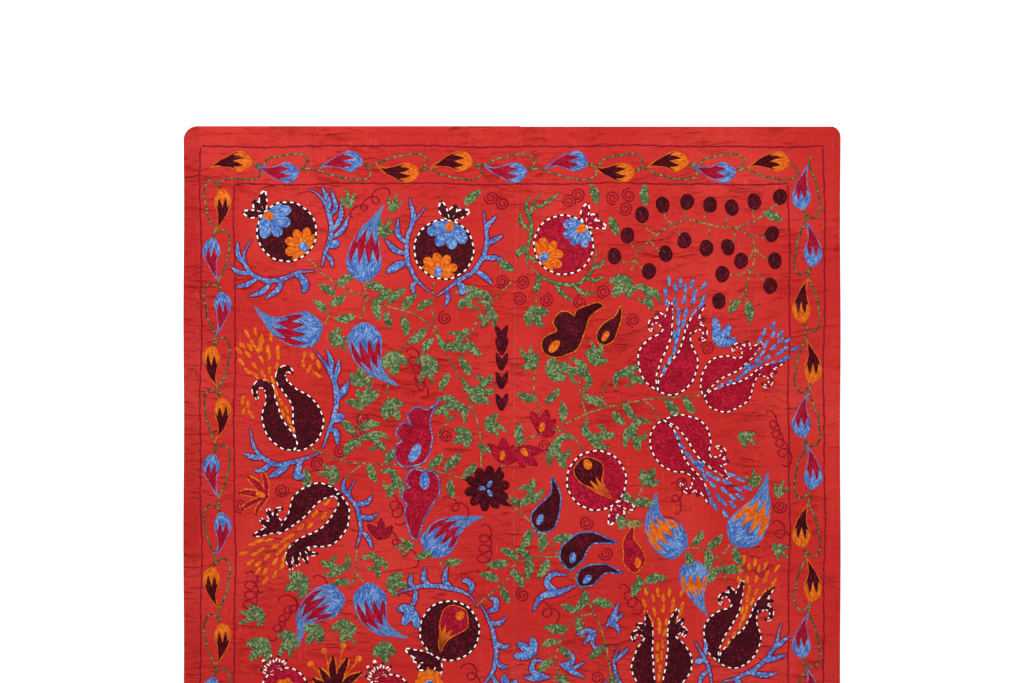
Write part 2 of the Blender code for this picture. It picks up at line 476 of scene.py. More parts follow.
def stitch_finish(name, dye=None):
    """Chain stitch: u counts stitches along a row and v counts rows, with the row's middle at .5."""
    finish = Finish(name, Roughness=0.52, Sheen_Weight=0.0, Specular_IOR_Level=0.05)
    chart = finish.node("ShaderNodeUVMap", {"uv_map": "stitches"})
    u = finish.node("ShaderNodeSeparateXYZ", {}, [chart], 0)
    v = finish.node("ShaderNodeSeparateXYZ", {}, [chart], 1)
    link = finish.node("ShaderNodeCombineXYZ", {}, [u.floor(), v.floor()])
    lot = finish.node("ShaderNodeTexWhiteNoise", {"noise_dimensions": "2D"}, {"Vector": link}, 0)
    other_lot = (lot * 37.7).part()
    from_middle = (v.part() - 0.5).size() * 2
    from_centre = (u.part() - 0.5).size() * 2
    groove = from_middle.between(0.62, 1.0)
    joint = from_centre.between(0.66, 1.0)
    slit = (1 - from_middle.between(0.0, 0.34)) * (1 - from_centre.between(0.25, 0.75))
    if dye:
        place = finish.node("ShaderNodeTexCoord", {}, {}, "Object")
        drift = finish.noise(place, 21.0, 2.0)
        light_from = 1 - dye.light_share + (0.5 - drift) * 0.7
        dark_from = 1 - dye.dark_share + (drift - 0.5) * 0.7
        color = finish.mix((lot > light_from) * 0.85, dye.mid, dye.light)
        color = finish.mix((other_lot > dark_from) * 0.8, color, dye.dark)
        shadow, slit_depth = dye.dark, 0.4
    else:
        pale = (u * 0.5).part() > 0.5
        color = finish.mix(pale, (0.012, 0.010, 0.012), (0.83, 0.81, 0.76))
        color = finish.mix(pale * lot * 0.35, color, (0.55, 0.47, 0.42))
        shadow, slit_depth = (0.01, 0.008, 0.01), 0.1
    hollow = (0.45 * groove + 0.55 * joint + slit_depth * slit).held()
    # Painted shade: the colour goes towards the shadow colour in the grooves between rows, at the joints
    # between stitches and in each link's slit; the same hollows shape the bump.
    color = finish.mix(hollow * 0.5, color, shadow)
    fibre = ((u * 9 + from_middle * 2).part() - 0.5).size()
    relief = 1 - hollow + 0.14 * fibre
    return finish.feed_shader(color, relief, 0.0005)


THREADS = {name: stitch_finish(f"{name}_thread", dye) for name, dye in DYES.items()}
THREADS["dashes"] = stitch_finish("pale_and_black_thread")


def number_of(thread):
    """The number of a thread among all of them."""
    return list(THREADS).index(thread)


def smooth(points, closed=False, fine=10):
    """A smooth line through points."""
    p = np.asarray(points, float)
    if closed:
        p = np.concatenate([p[-1:], p, p[:2]])
    else:
        p = np.concatenate([2 * p[:1] - p[1:2], p, 2 * p[-1:] - p[-2:-1]])
    t = np.arange(fine)[:, None] / fine
    spans = [
        b + (c - a) * t / 2 + (2 * a - 5 * b + 4 * c - d) * t**2 / 2
        + (3 * b - a - 3 * c + d) * t**3 / 2
        for a, b, c, d in zip(p, p[1:], p[2:], p[3:])
    ]
    return np.concatenate([*spans, p[-2:-1]])


def run_of(line):
    """Length covered up to each place of a line."""
    return np.concatenate([[0], np.cumsum(np.linalg.norm(np.diff(line, axis=0), axis=1))])


def read_line(line, shares):
    """Places and left-hand normals of a line at shares of its length."""
    run = run_of(line)
    heading = np.gradient(line, axis=0)
    at = shares * run[-1]
    place = np.stack([np.interp(at, run, line[:, k]) for k in (0, 1)], axis=-1)
    course = np.stack([np.interp(at, run, heading[:, k]) for k in (0, 1)], axis=-1)
    course /= np.maximum(np.linalg.norm(course, axis=-1, keepdims=True), 1e-9)
    return place, np.stack([-course[..., 1], course[..., 0]], axis=-1)


def polar(angle, distance=1.0):
    """A point at an angle in degrees and a distance."""
    turn = np.radians(angle)
    return np.stack([np.cos(turn) * distance, np.sin(turn) * distance], axis=-1)


def turned(angle):
    """The matrix that turns rows of points by an angle in degrees."""
    c, s = math.cos(math.radians(angle)), math.sin(math.radians(angle))
    return np.array([[c, s], [-s, c]])


class Hoop:
    """One motif on the hoop, in centimetres from its own middle, gathered until it is finished."""

    def __init__(self, x, down, turn=0.0):
        self.middle = np.array([x * CM, top - down * CM])
        self.turn = turn
        self.spot()
        self.places, self.rises, self.faces, self.charts, self.colors = [], [], [], [], []
        self.count = self.rows_done = 0
        self.draw = np.random.default_rng(int(abs(x * 7 + down * 131 + turn)) + 5)

    def spot(self, x=0.0, y=0.0, turn=0.0, size=1.0, flip=1):
        """Where on the hoop the next areas go: a place, a turn, a size, and -1 to turn them over."""
        self.shift, self.spin, self.flip = np.array([x, y]), turned(turn), flip
        self.scale = size * np.array([1, flip])

    def lay(self, xy, rise, u, colors, closed, capped):
        """Add a ribbed area: tracks across (two to a row) by places along."""
        tracks, steps = xy.shape[:2]
        number = self.count + np.arange(tracks * steps).reshape(tracks, steps)
        after = np.roll(number, -1, axis=1) if closed else number[:, 1:]
        before = number if closed else number[:, :-1]
        quads = np.stack([before[:-1], after[:-1], after[1:], before[1:]], axis=-1)
        row = np.arange(tracks - 1) // 2
        v0 = self.rows_done + row + (np.arange(tracks - 1) % 2) / 2
        v0 = np.broadcast_to(v0[:, None], quads.shape[:2])
        u0, u1 = u[row, : quads.shape[1]], u[row, 1 : quads.shape[1] + 1]
        chart = np.stack([u0, v0, u1, v0, u1, v0 + 0.5, u0, v0 + 0.5], axis=-1)
        new_faces = quads.reshape(-1, 4).tolist()
        new_charts = chart.reshape(-1, 4, 2).tolist()
        self.colors += np.broadcast_to(colors, quads.shape[:2]).ravel().tolist()
        first, last = number[0], number[-1]
        if closed and capped:
            under = [first[::-1].tolist(), last.tolist()]
        else:
            under = np.stack([before[0], before[-1], after[-1], after[0]], axis=-1).tolist()
            if not closed:
                under[0] = [*number[:, 0].tolist(), last[1], first[1]]
                under[-1] = [first[-2], last[-2], *number[::-1, -1].tolist()]
        new_faces += [[int(n) for n in face] for face in under]
        new_charts += [[[0.5, self.rows_done + 0.5]] * len(face) for face in under]
        self.faces += [face[:: self.flip] for face in new_faces]
        self.charts += [corner for chart in new_charts for corner in chart[:: self.flip]]
        self.colors += [int(np.ravel(colors)[-1])] * len(under)
        self.places.append(xy.reshape(-1, 2) * self.scale @ self.spin + self.shift)
        self.rises.append(rise.ravel())
        self.count += tracks * steps
        self.rows_done += (tracks - 1) // 2 + 3

    def blade(self, thread, spine, widths, blunt=(0, 0), cuts=(), rim=0, lift=0.0, rows=None):
        """Rows along a spine, of these half widths. cuts say where the thread changes, for a
        place from -1 to 1 across, and rim keeps the first thread in that many outer rows."""
        names = [thread] if isinstance(thread, str) else thread
        line = smooth(spine)
        length = run_of(line)[-1]
        profile = smooth(np.stack([np.linspace(0, 1, len(widths)), widths], axis=1))
        rows = rows or max(1, round(2 * profile[:, 1].max() / ROW))
        across = np.linspace(-1, 1, 2 * rows + 1)
        limits = [0 * across, *(cut(across) for cut in cuts), 0 * across + 1]
        shares, colors = [limits[0][:, None]], []
        for number, (start, end) in enumerate(zip(limits, limits[1:])):
            steps = max(3, math.ceil((end - start).mean() * length / MESH_PITCH))
            share = np.arange(1, steps + 1) / steps
            if number == 0 and blunt[0]:
                share = 1 - np.cos(share * math.pi / 2) if not cuts else share**1.5
            if number == len(cuts) and blunt[1]:
                share = np.sin(share * math.pi / 2)
            shares.append(start[:, None] + (end - start)[:, None] * share)
            colors += [number] * steps
        shares = np.concatenate(shares, axis=1)
        half = np.interp(shares, profile[:, 0], profile[:, 1])
        for reach, ends in zip(blunt, (shares, 1 - shares)):
            if reach:
                half = half * np.sqrt(np.clip(1 - (1 - np.minimum(ends / reach, 1)) ** 2, 0, 1))
        half = np.maximum(half, LEAST_HALF_WIDTH)
        place, side = read_line(line, shares)
        xy = place + side * (across[:, None] * half)[..., None]
        slim = np.clip(2 * half / rows / SLIM_ROW, 0.3, 1)
        rise = np.where(np.arange(len(across))[:, None] % 2, RIB_TOP, RIB_FOOT) * slim + lift
        rise[[0, -1]] = rise[:, [0, -1]] = SUNK + lift
        if thread == "dashes":
            u = shares[1::2] * length / DASH
        else:
            u = np.array([run_of(track) for track in xy[1::2]]) / STITCH
            u += self.draw.uniform(0, START_SPREAD, (rows, 1)).round(2)
        colors = np.broadcast_to(colors, (2 * rows, len(colors))).copy()
        if rim:
            colors[: 2 * rim] = colors[-2 * rim :] = 0
        keys = np.array([number_of(name) for name in names])
        self.lay(xy, rise, u, keys[colors], False, False)
        return np.concatenate([xy[0], xy[-1][::-1]])

    def patch(self, thread, one, other, lift=0.0, rows=None):
        """Rows between two edges that start from the same end; gives back the outline."""
        one, other = smooth(one), smooth(other)
        length = (run_of(one)[-1] + run_of(other)[-1]) / 2
        steps = max(4, round(length / MESH_PITCH))
        shares = np.arange(steps + 1) / steps
        a, b = read_line(one, shares)[0], read_line(other, shares)[0]
        rows = rows or max(1, round(np.linalg.norm(a - b, axis=1).max() / ROW))
        across = np.linspace(0, 1, 2 * rows + 1)[:, None, None]
        xy = a * (1 - across) + b * across
        rise = np.where(np.arange(2 * rows + 1)[:, None] % 2, RIB_TOP, RIB_FOOT)
        rise = rise + np.zeros(steps + 1) + lift
        rise[[0, -1]] = rise[:, [0, -1]] = SUNK + lift
        u = np.array([run_of(track) for track in xy[1::2]]) / STITCH
        u += self.draw.uniform(0, START_SPREAD, (rows, 1)).round(2)
        faces_out = np.sum(np.cross(np.diff(a, axis=0), (b - a)[:-1])) > 0
        order = 1 if faces_out else -1
        self.lay(xy[::order], rise, u[::order], number_of(thread), False, False)
        return np.concatenate([a, b[::-1]])

    def row(self, thread, points, width=ROW, closed=False, exact=False, lift=0.0, unit=STITCH):
        """One row of stitches along a line, smoothed unless it is exact. unit is a stitch's length."""
        line = np.asarray(points, float) if exact else smooth(points, closed)
        if closed:
            line = np.concatenate([line, line[:1]]) if exact else line
        length = run_of(line)[-1]
        steps = max(4, round(length / MESH_PITCH))
        count = max(2, 2 * round(length / unit / 2)) if closed else length / unit
        shares = np.arange(steps + (not closed)) / steps
        place, side = read_line(line, shares)
        if closed:
            ring = np.roll(place, -1, axis=0) - np.roll(place, 1, axis=0)
            ring /= np.maximum(np.linalg.norm(ring, axis=1, keepdims=True), 1e-9)
            side = np.stack([-ring[:, 1], ring[:, 0]], axis=1)
        half = np.full(len(shares), width / 2)
        if not closed:
            half[[0, -1]] *= BLUNT_ROW_END
        xy = np.stack([place - side * half[:, None], place, place + side * half[:, None]])
        rise = np.full(xy.shape[:2], SUNK + lift)
        rise[1] = RIB_TOP + lift
        if not closed:
            rise[1, [0, -1]] = SUNK + lift
        start = 0 if closed else self.draw.uniform(0, START_SPREAD)
        u = (start + np.arange(steps + 1) / steps * count)[None]
        self.lay(xy, rise, u, number_of(thread), closed, False)

    def rings(self, thread, reach, at=(0, 0), turn=0.0, lift=0.0, core=None):
        """Rings of stitches out to a reach: a radius, an (a, b) oval or one for each angle.
        core is (share, thread) for the inner rings."""
        angle = np.linspace(0, math.tau, 181)[:-1]
        if isinstance(reach, tuple):
            a, b = reach
            distance = a * b / np.hypot(b * np.cos(angle), a * np.sin(angle))
        else:
            distance = reach(angle) if callable(reach) else np.full(180, float(reach))
        outline = polar(np.degrees(angle) + turn, distance)
        around = run_of(np.concatenate([outline, outline[:1]]))[-1]
        steps = max(10, round(around / MESH_PITCH))
        outline = read_line(np.concatenate([outline, outline[:1]]), np.arange(steps) / steps)[0]
        rows = max(1, round(np.median(distance) / ROW))
        shrink = 1 - np.arange(2 * rows + 1) / (2 * rows) * (1 - 0.1 / rows)
        xy = np.asarray(at, float) + shrink[:, None, None] * outline
        rise = np.where(np.arange(2 * rows + 1) % 2, RIB_TOP, RIB_FOOT) + lift
        rise = np.repeat(rise[:, None], steps, axis=1)
        rise[0] = SUNK + lift
        rise[-1] = RIB_TOP * 0.9 + lift
        counts = np.maximum(3, np.round(around * shrink[1::2] / STITCH))
        u = self.draw.integers(0, START_SPREAD, (rows, 1)) + np.arange(steps + 1) / steps * counts[:, None]
        names = [thread, core[1]] if core else [thread, thread]
        keys = np.array([number_of(name) for name in names])
        inner = (shrink[:-1] <= (core[0] if core else 0)).astype(int)
        self.lay(xy, rise, u, keys[inner][:, None], True, True)
        return np.asarray(at, float) + outline

    def finish(self, name, slot):
        """Take the motif off the hoop: one object, on the cloth's face, on its true place."""
        flat = np.concatenate(self.places) * CM @ turned(self.turn) + self.middle
        x, y = flat[:, 0], flat[:, 1]
        flat = flat + HAND_WOBBLE * np.stack([np.sin(y * 150 + x * 47), np.sin(x * 163 - y * 39)], axis=1)
        height = cloth_face(flat[:, 0], flat[:, 1]) + np.concatenate(self.rises)
        height = np.maximum(height, back + LOWEST_THREAD)
        mesh = bpy.data.meshes.new(name)
        mesh.from_pydata(np.column_stack([flat, height]).tolist(), [], self.faces)
        layer = mesh.uv_layers.new(name="stitches")
        layer.uv.foreach_set("vector", np.ravel(self.charts))
        used = sorted(set(self.colors))
        for key in used:
            mesh.materials.append(list(THREADS.values())[key])
        slots = np.searchsorted(used, self.colors)
        mesh.polygons.foreach_set("material_index", slots)
        mesh.shade_smooth()
        mesh.update()
        piece = bpy.data.objects.new(name, mesh)
        scene.collection.objects.link(piece)
        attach(piece, "root")
        return piece


# ---------------------------------------------------------------------------------------------
# Border: two hand-stitched lines of wine thread frame a band all round the cover. They were
# drawn by hand, so they are a little wavy.
# ---------------------------------------------------------------------------------------------
COVER_CM = ((right - left) / CM, (top - bottom) / CM)
OUTER_LINE = dict(left=3.7, right=3.5, end=4.3)
INNER_LINE = dict(left=10.9, right=11.0, end=12.3)
LINE_WIDTH = 0.44
LINE_WAVE = 0.16
LINE_PLACES = 60


def frame_corners(line):
    """Corners of a border line, in centimetres from the cover's middle."""
    x0, x1 = -COVER_CM[0] / 2 + line["left"], COVER_CM[0] / 2 - line["right"]
    y1 = COVER_CM[1] / 2 - line["end"]
    return [(x0, y1), (x0, -y1), (x1, -y1), (x1, y1)]


hoop = Hoop(0, COVER_CM[1] / 2)
for name, line in (("outer", OUTER_LINE), ("inner", INNER_LINE)):
    corners = frame_corners(line)
    sides = ("left", "bottom", "right", "top")
    for side, start, end in zip(sides, corners, corners[1:] + corners[:1]):
        upright = side in ("left", "right")
        course = np.linspace(start, end, LINE_PLACES)
        run = np.linspace(0, COVER_CM[1] if upright else COVER_CM[0], LINE_PLACES)
        wave = np.sin(run / 9 + len(side)) + 0.6 * np.sin(run / 3.7 + len(name) * 3)
        course[:, 0 if upright else 1] += LINE_WAVE * wave
        hoop.row("wine", course, LINE_WIDTH, unit=FINE_STITCH)
hoop.finish("border_lines", "crimson_thread")

# ---------------------------------------------------------------------------------------------
# The design is worked from both ends: the lower end is the upper one turned half round. A place
# on the cover is (x, down): centimetres right of the middle and down from the upper edge.
# ---------------------------------------------------------------------------------------------
LENGTH_CM = COVER_CM[1]
TURNED_ABOVE = 92.0


def both_ends(x, down, turn=0):
    """A motif's place at the upper end and, if it stands high enough, at the lower end."""
    yield "upper", Hoop(x, down, turn)
    if down < TURNED_ABOVE:
        yield "lower", Hoop(-x, LENGTH_CM - down, turn + 180)


def teeth(count, start, depth):
    """A zigzag across a blade: the share along it where the thread changes."""
    return lambda across: start + depth * np.abs((across * count / 2 % 1) * 2 - 1)


# ---------------------------------------------------------------------------------------------
# Border vine: a thin green stem winds between the two lines with a flame bud in each bend, by
# turns two orange with a maroon flame and two blue with a crimson one.
# ---------------------------------------------------------------------------------------------
BUD_LENGTH = 9.4
BUD_HALF_WIDTHS = (1.5, 2.25, 2.2, 1.55, 0.85, 0.45, 0.06)
BUD_SPINE = ((0, 0), (2.4, 0.45), (5.2, 0.35), (7.6, -0.25), (9.4, -1.2))
VINE_WIDTH = 0.42
BAND_MIDDLE = dict(top=8.7, left=7.15, right=7.1)
BEND = 0.75
FLAMES = {"blue": "crimson", "orange": "maroon"}
COLOR_OF = {"b": "blue", "o": "orange"}
LONGEST_RUN = 12.0
VINE_LIFT = 0.0003
# Where the buds stand along each side, and their colours. The lower side repeats the upper one.
ACROSS = (-60, -50, -36.5, -24.5, -13, -1.5, 11.5, 21.5, 33, 43, 54.5)
LEFT_DOWN = (18, 28.5, 40, 51.5, 62.5, 74.5, 87, 98.5, 110.5, 122, 133.5, 145, 156, 168, 179.5, 191, 202)
RIGHT_DOWN = (13, 25, 37, 50, 61.5, 72.5, 85, 96.5, 108.5, 120, 131, 143, 154.5, 165.5, 177, 189, 200.5)
Side = namedtuple("Side", "name places colors heading flip lean size slim")
SIDES = (
    Side("top", ACROSS, "obboobboobo", 180, 1, -1, 1.0, 1.0),
    Side("bottom", ACROSS, "obboobboobo", 0, 1, -1, 1.0, 1.0),
    Side("left", LEFT_DOWN, "obboobboobboobboo", -90, -1, 1, 1.0, 0.86),
    Side("right", RIGHT_DOWN, "bboobboobboobboob", 90, -1, 1, 1.06, 0.86),
)


def flame_bud(hoop, color, slim):
    """A drop of one colour with a flame of another inside, its round end at the origin."""
    threads = (color, FLAMES[color], color)
    cuts = (teeth(3, 0.18, 0.26), lambda across: 0.90 - 0.25 * np.abs(across))
    half = np.multiply(BUD_HALF_WIDTHS, slim)
    hoop.blade(threads, BUD_SPINE, half, blunt=(0.3, 0), cuts=cuts, rim=1)


for side in SIDES:
    for number, (place, color) in enumerate(zip(side.places, side.colors)):
        bend = BEND * (-1) ** number
        before = side.places[number - 1]
        after = side.places[(number + 1) % len(side.places)]
        if side.name == "top":
            x, down = place, BAND_MIDDLE["top"] - bend
            ahead = place - before if number else 0
        elif side.name == "bottom":
            x, down = -place, LENGTH_CM - BAND_MIDDLE["top"] + bend
            ahead = place - before if number else 0
        elif side.name == "left":
            x, down = -COVER_CM[0] / 2 + BAND_MIDDLE["left"] + bend, place
            ahead = min(abs(after - place), LONGEST_RUN)
        else:
            x, down = COVER_CM[0] / 2 - BAND_MIDDLE["right"] - bend, place
            ahead = min(abs(before - place), LONGEST_RUN)
        hoop = Hoop(x, down, side.heading)
        base = np.array([-BUD_LENGTH / 2 * side.size, 0])
        flip = side.flip * (-1) ** number
        hoop.spot(*base, 0, side.size, side.lean * (-1) ** number)
        flame_bud(hoop, COLOR_OF[color], side.slim)
        # The stem leaves the round end, doubles back beside the bud and runs on to the next.
        hoop.spot(0, 0, 0, 1, flip)
        stem = [(0.1, 0), (-1.2, 0.9), (-1.7, 2.4), (0.2, 3.5), (3.2, 3.2)]
        if ahead:
            stem += [(6.6, 2.4), (ahead - 2.2, 2 * BEND - 0.4), (ahead - 0.3, 2 * BEND + 0.2)]
        else:
            stem += [(5.6, 3.4), (8.0, 4.4)]
        hoop.row("green", np.add(stem, base), VINE_WIDTH, lift=VINE_LIFT)
        hoop.finish(f"bud_{side.name}_{number + 1}", f"{COLOR_OF[color]}_thread")


# ---------------------------------------------------------------------------------------------
# Tulips: big buds with a round foot and a drawn-out tip, blue at both ends and crimson or orange
# between, the two threads meeting in long spikes.
# ---------------------------------------------------------------------------------------------
TULIP_SHAPE = (0.62, 0.94, 1.0, 0.93, 0.74, 0.50, 0.28, 0.14, 0.02)
Tulip = namedtuple("Tulip", "flame half spine")
TULIPS = (
    Tulip("crimson", 3.8, ((-31.4, 33.3), (-31.5, 28.0), (-30.4, 22.5), (-27.2, 16.6))),
    Tulip("crimson", 3.9, ((-40.3, 42.8), (-45.6, 43.4), (-50.8, 42.2), (-55.0, 38.4))),
    Tulip("crimson", 3.7, ((-31.3, 41.7), (-31.2, 47.0), (-28.8, 52.2), (-24.0, 55.6))),
    Tulip("crimson", 3.7, ((-17.4, 91.8), (-15.2, 87.8), (-11.6, 84.8), (-5.8, 83.1))),
    Tulip("crimson", 3.7, ((-35.6, 100.4), (-40.0, 101.6), (-44.2, 105.0), (-45.5, 111.2))),
    Tulip("crimson", 3.6, ((-30.2, 97.2), (-30.1, 102.2), (-27.8, 106.8), (-21.9, 109.2))),
    Tulip("orange", 4.0, ((37.4, 89.6), (33.6, 88.0), (30.4, 84.0), (30.8, 77.7))),
    Tulip("orange", 4.1, ((47.2, 89.4), (50.0, 85.6), (52.8, 81.0), (54.6, 73.4))),
    Tulip("orange", 3.2, ((38.8, 92.5), (38.8, 97.0), (39.8, 101.0), (41.7, 104.6))),
)


def at(points):
    """Places on the cover as a hoop at the upper edge's middle has them."""
    return [(x, -down) for x, down in points]


def whole_design(down=0):
    """A hoop over the upper end and, if the motif stands high enough, one over the lower end."""
    yield "upper", Hoop(0, 0)
    if down < TURNED_ABOVE:
        yield "lower", Hoop(0, LENGTH_CM, 180)


for number, tulip in enumerate(TULIPS):
    for end, hoop in whole_design(tulip.spine[0][1]):
        threads = ("blue", tulip.flame, "blue")
        cuts = (teeth(4, 0.22, 0.20), teeth(3, 0.66, -0.20))
        half = np.multiply(TULIP_SHAPE, tulip.half)
        hoop.blade(threads, at(tulip.spine), half, blunt=(0.2, 0), cuts=cuts, rim=1)
        hoop.finish(f"tulip_{number + 1}_{end}", "blue_thread")


# ---------------------------------------------------------------------------------------------
# Round pomegranates: a disc worked round and round, edged with pale and black stitches, with a
# crown of petals. Inside are a blue and an orange flower, or a flame with a spiked tip.
# ---------------------------------------------------------------------------------------------
FRUIT_RADIUS = 6.3
PETAL_EDGE = 0.24
HEART_EDGE_WIDTH = 0.26
CROWN = ((-46, 4.6), (-4, 3.6), (40, 4.8))
LONG_CROWN = ((-66, 6.0), (-42, 4.6), (-12, 4.8), (18, 4.2), (48, 4.6))
PETAL_HALF_WIDTHS = (0.12, 0.42, 0.78, 0.62, 0.06)


def petals(hoop, thread, spread, grow=PETAL_EDGE, shape=PETAL_HALF_WIDTHS):
    """Petals from the origin, one for each (angle, length), on bigger ones in dashes that edge them."""
    for name, wider, lift in (("dashes", grow, 0.0), (thread, 0.0, EDGE_LIFT)):
        for angle, length in spread:
            tip = polar(angle, length + wider)
            bend = polar(angle + 9, length * 0.55)
            hoop.blade(name, [(0, 0), bend, tip], np.add(shape, wider), lift=lift)


def scallops(count, reach, depth, inside=None, turn=0.0):
    """Outline of a flower with round petals, cut off where a bigger disc around it ends."""
    def outline(angle):
        lobes = reach * (1 - depth + depth * np.abs(np.cos(count * angle / 2)) ** 0.6)
        if inside is None:
            return lobes
        radius, off = inside
        toward = off * np.cos(angle + math.radians(turn))
        return np.minimum(lobes, np.sqrt(radius**2 - off**2 + toward**2) - toward)
    return outline


def clipped_flower(hoop, thread, eye, direction, off, reach):
    """A scalloped flower at the fruit's rim, and its eye."""
    middle = polar(direction, off)
    outline = scallops(9, reach, 0.34, (FRUIT_RADIUS - 0.15, off))
    hoop.rings(thread, outline, middle, direction, EDGE_LIFT)
    hoop.rings(eye, (1.25, 0.95), middle, direction, 2.2 * EDGE_LIFT)


Fruit = namedtuple("Fruit", "x down skin inside crown stem petals")
FRUITS = (
    Fruit(-48.0, 22.5, "maroon", "flowers", 138, -42, CROWN),
    Fruit(-14.5, 26.3, "maroon", "flowers", 76, -104, CROWN),
    Fruit(11.0, 25.3, "crimson", "flowers", 42, -148, CROWN),
    Fruit(18.0, 75.5, "crimson", "flame", -54, 116, CROWN),
    Fruit(-13.3, 107.5, "maroon", "flame", -124, 52, LONG_CROWN),
)


def dashed_edge(hoop, rim):
    """Stitches by turns pale and black along an outline."""
    hoop.row("dashes", rim, EDGE_WIDTH, closed=True, exact=True, lift=EDGE_LIFT, unit=DASH)


def row_edge(hoop, thread, rim, width=EDGE_ROW_WIDTH, lift=EDGE_LIFT):
    """A plain row of stitches along an outline."""
    hoop.row(thread, rim, width, closed=True, exact=True, lift=lift)


for number, fruit in enumerate(FRUITS):
    for end, hoop in both_ends(fruit.x, fruit.down):
        hoop.spot(*polar(fruit.crown, FRUIT_RADIUS - 0.2), fruit.crown)
        petals(hoop, fruit.skin, fruit.petals)
        hoop.spot()
        dashed_edge(hoop, hoop.rings(fruit.skin, FRUIT_RADIUS))
        if fruit.inside == "flowers":
            blue_reach = 4.2 if fruit.skin == "crimson" else 5.1
            clipped_flower(hoop, "blue", "orange", fruit.crown, 5.1, blue_reach)
            clipped_flower(hoop, "orange", "blue", fruit.stem, 4.9, 4.3)
        else:
            heart = "maroon" if fruit.skin == "crimson" else "crimson"
            hoop.spot(*polar(fruit.stem, 5.6), fruit.stem + 180, 1.12, -1)
            half = np.multiply(BUD_HALF_WIDTHS, 1.25)
            cuts = (teeth(3, 0.45, 0.2),)
            edge = hoop.blade((heart, "orange"), BUD_SPINE, half, (0.3, 0), cuts, lift=EDGE_LIFT)
            row_edge(hoop, "orange", edge, HEART_EDGE_WIDTH, 2 * EDGE_LIFT)
            hoop.rings("orange", (1.15, 0.85), (1.5, 0.2), 0, 2 * EDGE_LIFT)
        hoop.finish(f"pomegranate_{number + 1}_{end}", f"{fruit.skin}_thread")


# Strokes run from a foot to a tip. Their half widths go with the kind of stroke.
STROKE_EDGE = 0.26
THORN = (1.0, 0.95, 0.8, 0.5, 0.08)
SPINE = (0.25, 0.8, 1.0, 0.75, 0.12)
DROP = (0.35, 0.8, 1.0, 0.85, 0.25)


def strokes(hoop, thread, edge, parts, grow, kind, lift=0.0):
    """Strokes given as (half width, points...), each on a slightly wider one that edges it."""
    for name, wider, extra in ((edge, grow, 0.0), (thread, 0.0, EDGE_LIFT)):
        for half, *points in parts:
            if name:
                hoop.blade(name, points, np.multiply(kind, half) + wider, lift=lift + extra)


# ---------------------------------------------------------------------------------------------
# Split pomegranates: the two halves of a ripe fruit lean apart over a slit full of seeds, and
# more seeds spray out between their crested or hooked heads. Pale and black stitches edge them.
# ---------------------------------------------------------------------------------------------
# Each half: its outer edge, its inner edge, and the strokes of its head (half width, points).
Half = namedtuple("Half", "outer inner head")
LEANING = (
    Half(
        ((0, 0), (-2.6, 2.0), (-4.1, 6.0), (-3.6, 9.0), (-1.6, 11.1), (0.6, 12.2), (1.5, 13.8)),
        ((0, 0), (-0.3, 2.8), (0.5, 5.8), (1.9, 9.0), (2.8, 11.3), (3.1, 14.2)),
        ((0.85, (2.2, 13.0), (2.4, 15.6), (2.9, 19.0)), (0.75, (1.8, 13.8), (0.7, 15.8), (-0.6, 17.0)),
         (0.50, (1.6, 13.2), (0.4, 14.9), (-1.2, 14.8), (-1.7, 13.3), (-0.7, 12.7))),
    ),
    Half(
        ((0, 0), (2.9, -0.9), (6.4, 0.7), (8.4, 4.6), (8.3, 7.4), (7.2, 9.8), (6.9, 11.6), (7.4, 13.2)),
        ((0, 0), (0.4, 2.4), (2.3, 5.5), (4.6, 8.4), (5.5, 11.0), (6.1, 13.6)),
        ((0.80, (6.8, 12.4), (7.9, 15.4), (10.0, 18.4)), (0.75, (7.2, 13.0), (8.6, 14.8), (10.3, 15.2)),
         (0.50, (7.0, 12.4), (8.6, 13.6), (10.1, 12.8), (9.9, 11.1), (8.5, 10.9))),
    ),
)
UPRIGHT = (
    Half(
        ((-0.3, 0), (-3.4, 1.2), (-5.6, 4.0), (-5.8, 6.6), (-4.8, 9.4), (-3.3, 11.6), (-2.9, 13.0)),
        ((-0.3, 0), (-1.0, 2.6), (-1.3, 6.0), (-1.5, 9.6), (-1.4, 12.8)),
        ((0.80, (-2.1, 12.0), (-2.3, 14.8), (-2.9, 17.8)), (0.70, (-2.4, 12.8), (-3.6, 14.4), (-5.1, 14.9)),
         (0.50, (-2.6, 12.2), (-4.2, 13.2), (-5.7, 12.6), (-5.2, 11.0))),
    ),
    Half(
        ((0.3, 0), (3.6, 1.2), (6.4, 4.4), (6.9, 7.2), (5.6, 10.2), (3.6, 12.1), (3.1, 13.2)),
        ((0.3, 0), (0.8, 2.8), (1.4, 6.2), (1.8, 9.8), (1.8, 13.0)),
        ((0.80, (2.5, 12.4), (2.8, 15.0), (4.0, 18.4)), (0.70, (2.8, 13.2), (4.2, 15.0), (5.4, 16.0)),
         (0.50, (3.0, 12.6), (4.4, 13.6), (5.6, 13.6), (4.8, 11.9))),
    ),
)
HOOKED = (
    Half(
        ((0.2, 0), (-2.7, 0.7), (-5.1, 2.8), (-6.6, 6.4), (-6.2, 9.2), (-5.6, 11.0)),
        ((0.9, 1.6), (0.3, 3.0), (-2.2, 6.6), (-3.3, 9.4), (-4.0, 11.8)),
        ((0.95, (-4.7, 10.6), (-5.2, 13.4), (-7.0, 14.4), (-8.2, 12.8), (-7.6, 10.8)),),
    ),
    Half(
        ((0, 0), (3.0, 0.6), (5.3, 2.7), (6.4, 5.8), (5.7, 8.8), (3.6, 11.4), (0.9, 13.0), (-1.0, 14.6)),
        ((1.0, 1.6), (0.3, 3.6), (0.0, 6.4), (-0.3, 10.0), (-2.2, 12.7), (-3.1, 14.8)),
        ((1.05, (-2.0, 13.6), (-2.7, 16.2), (-1.5, 17.6), (0.0, 16.4)),),
    ),
)
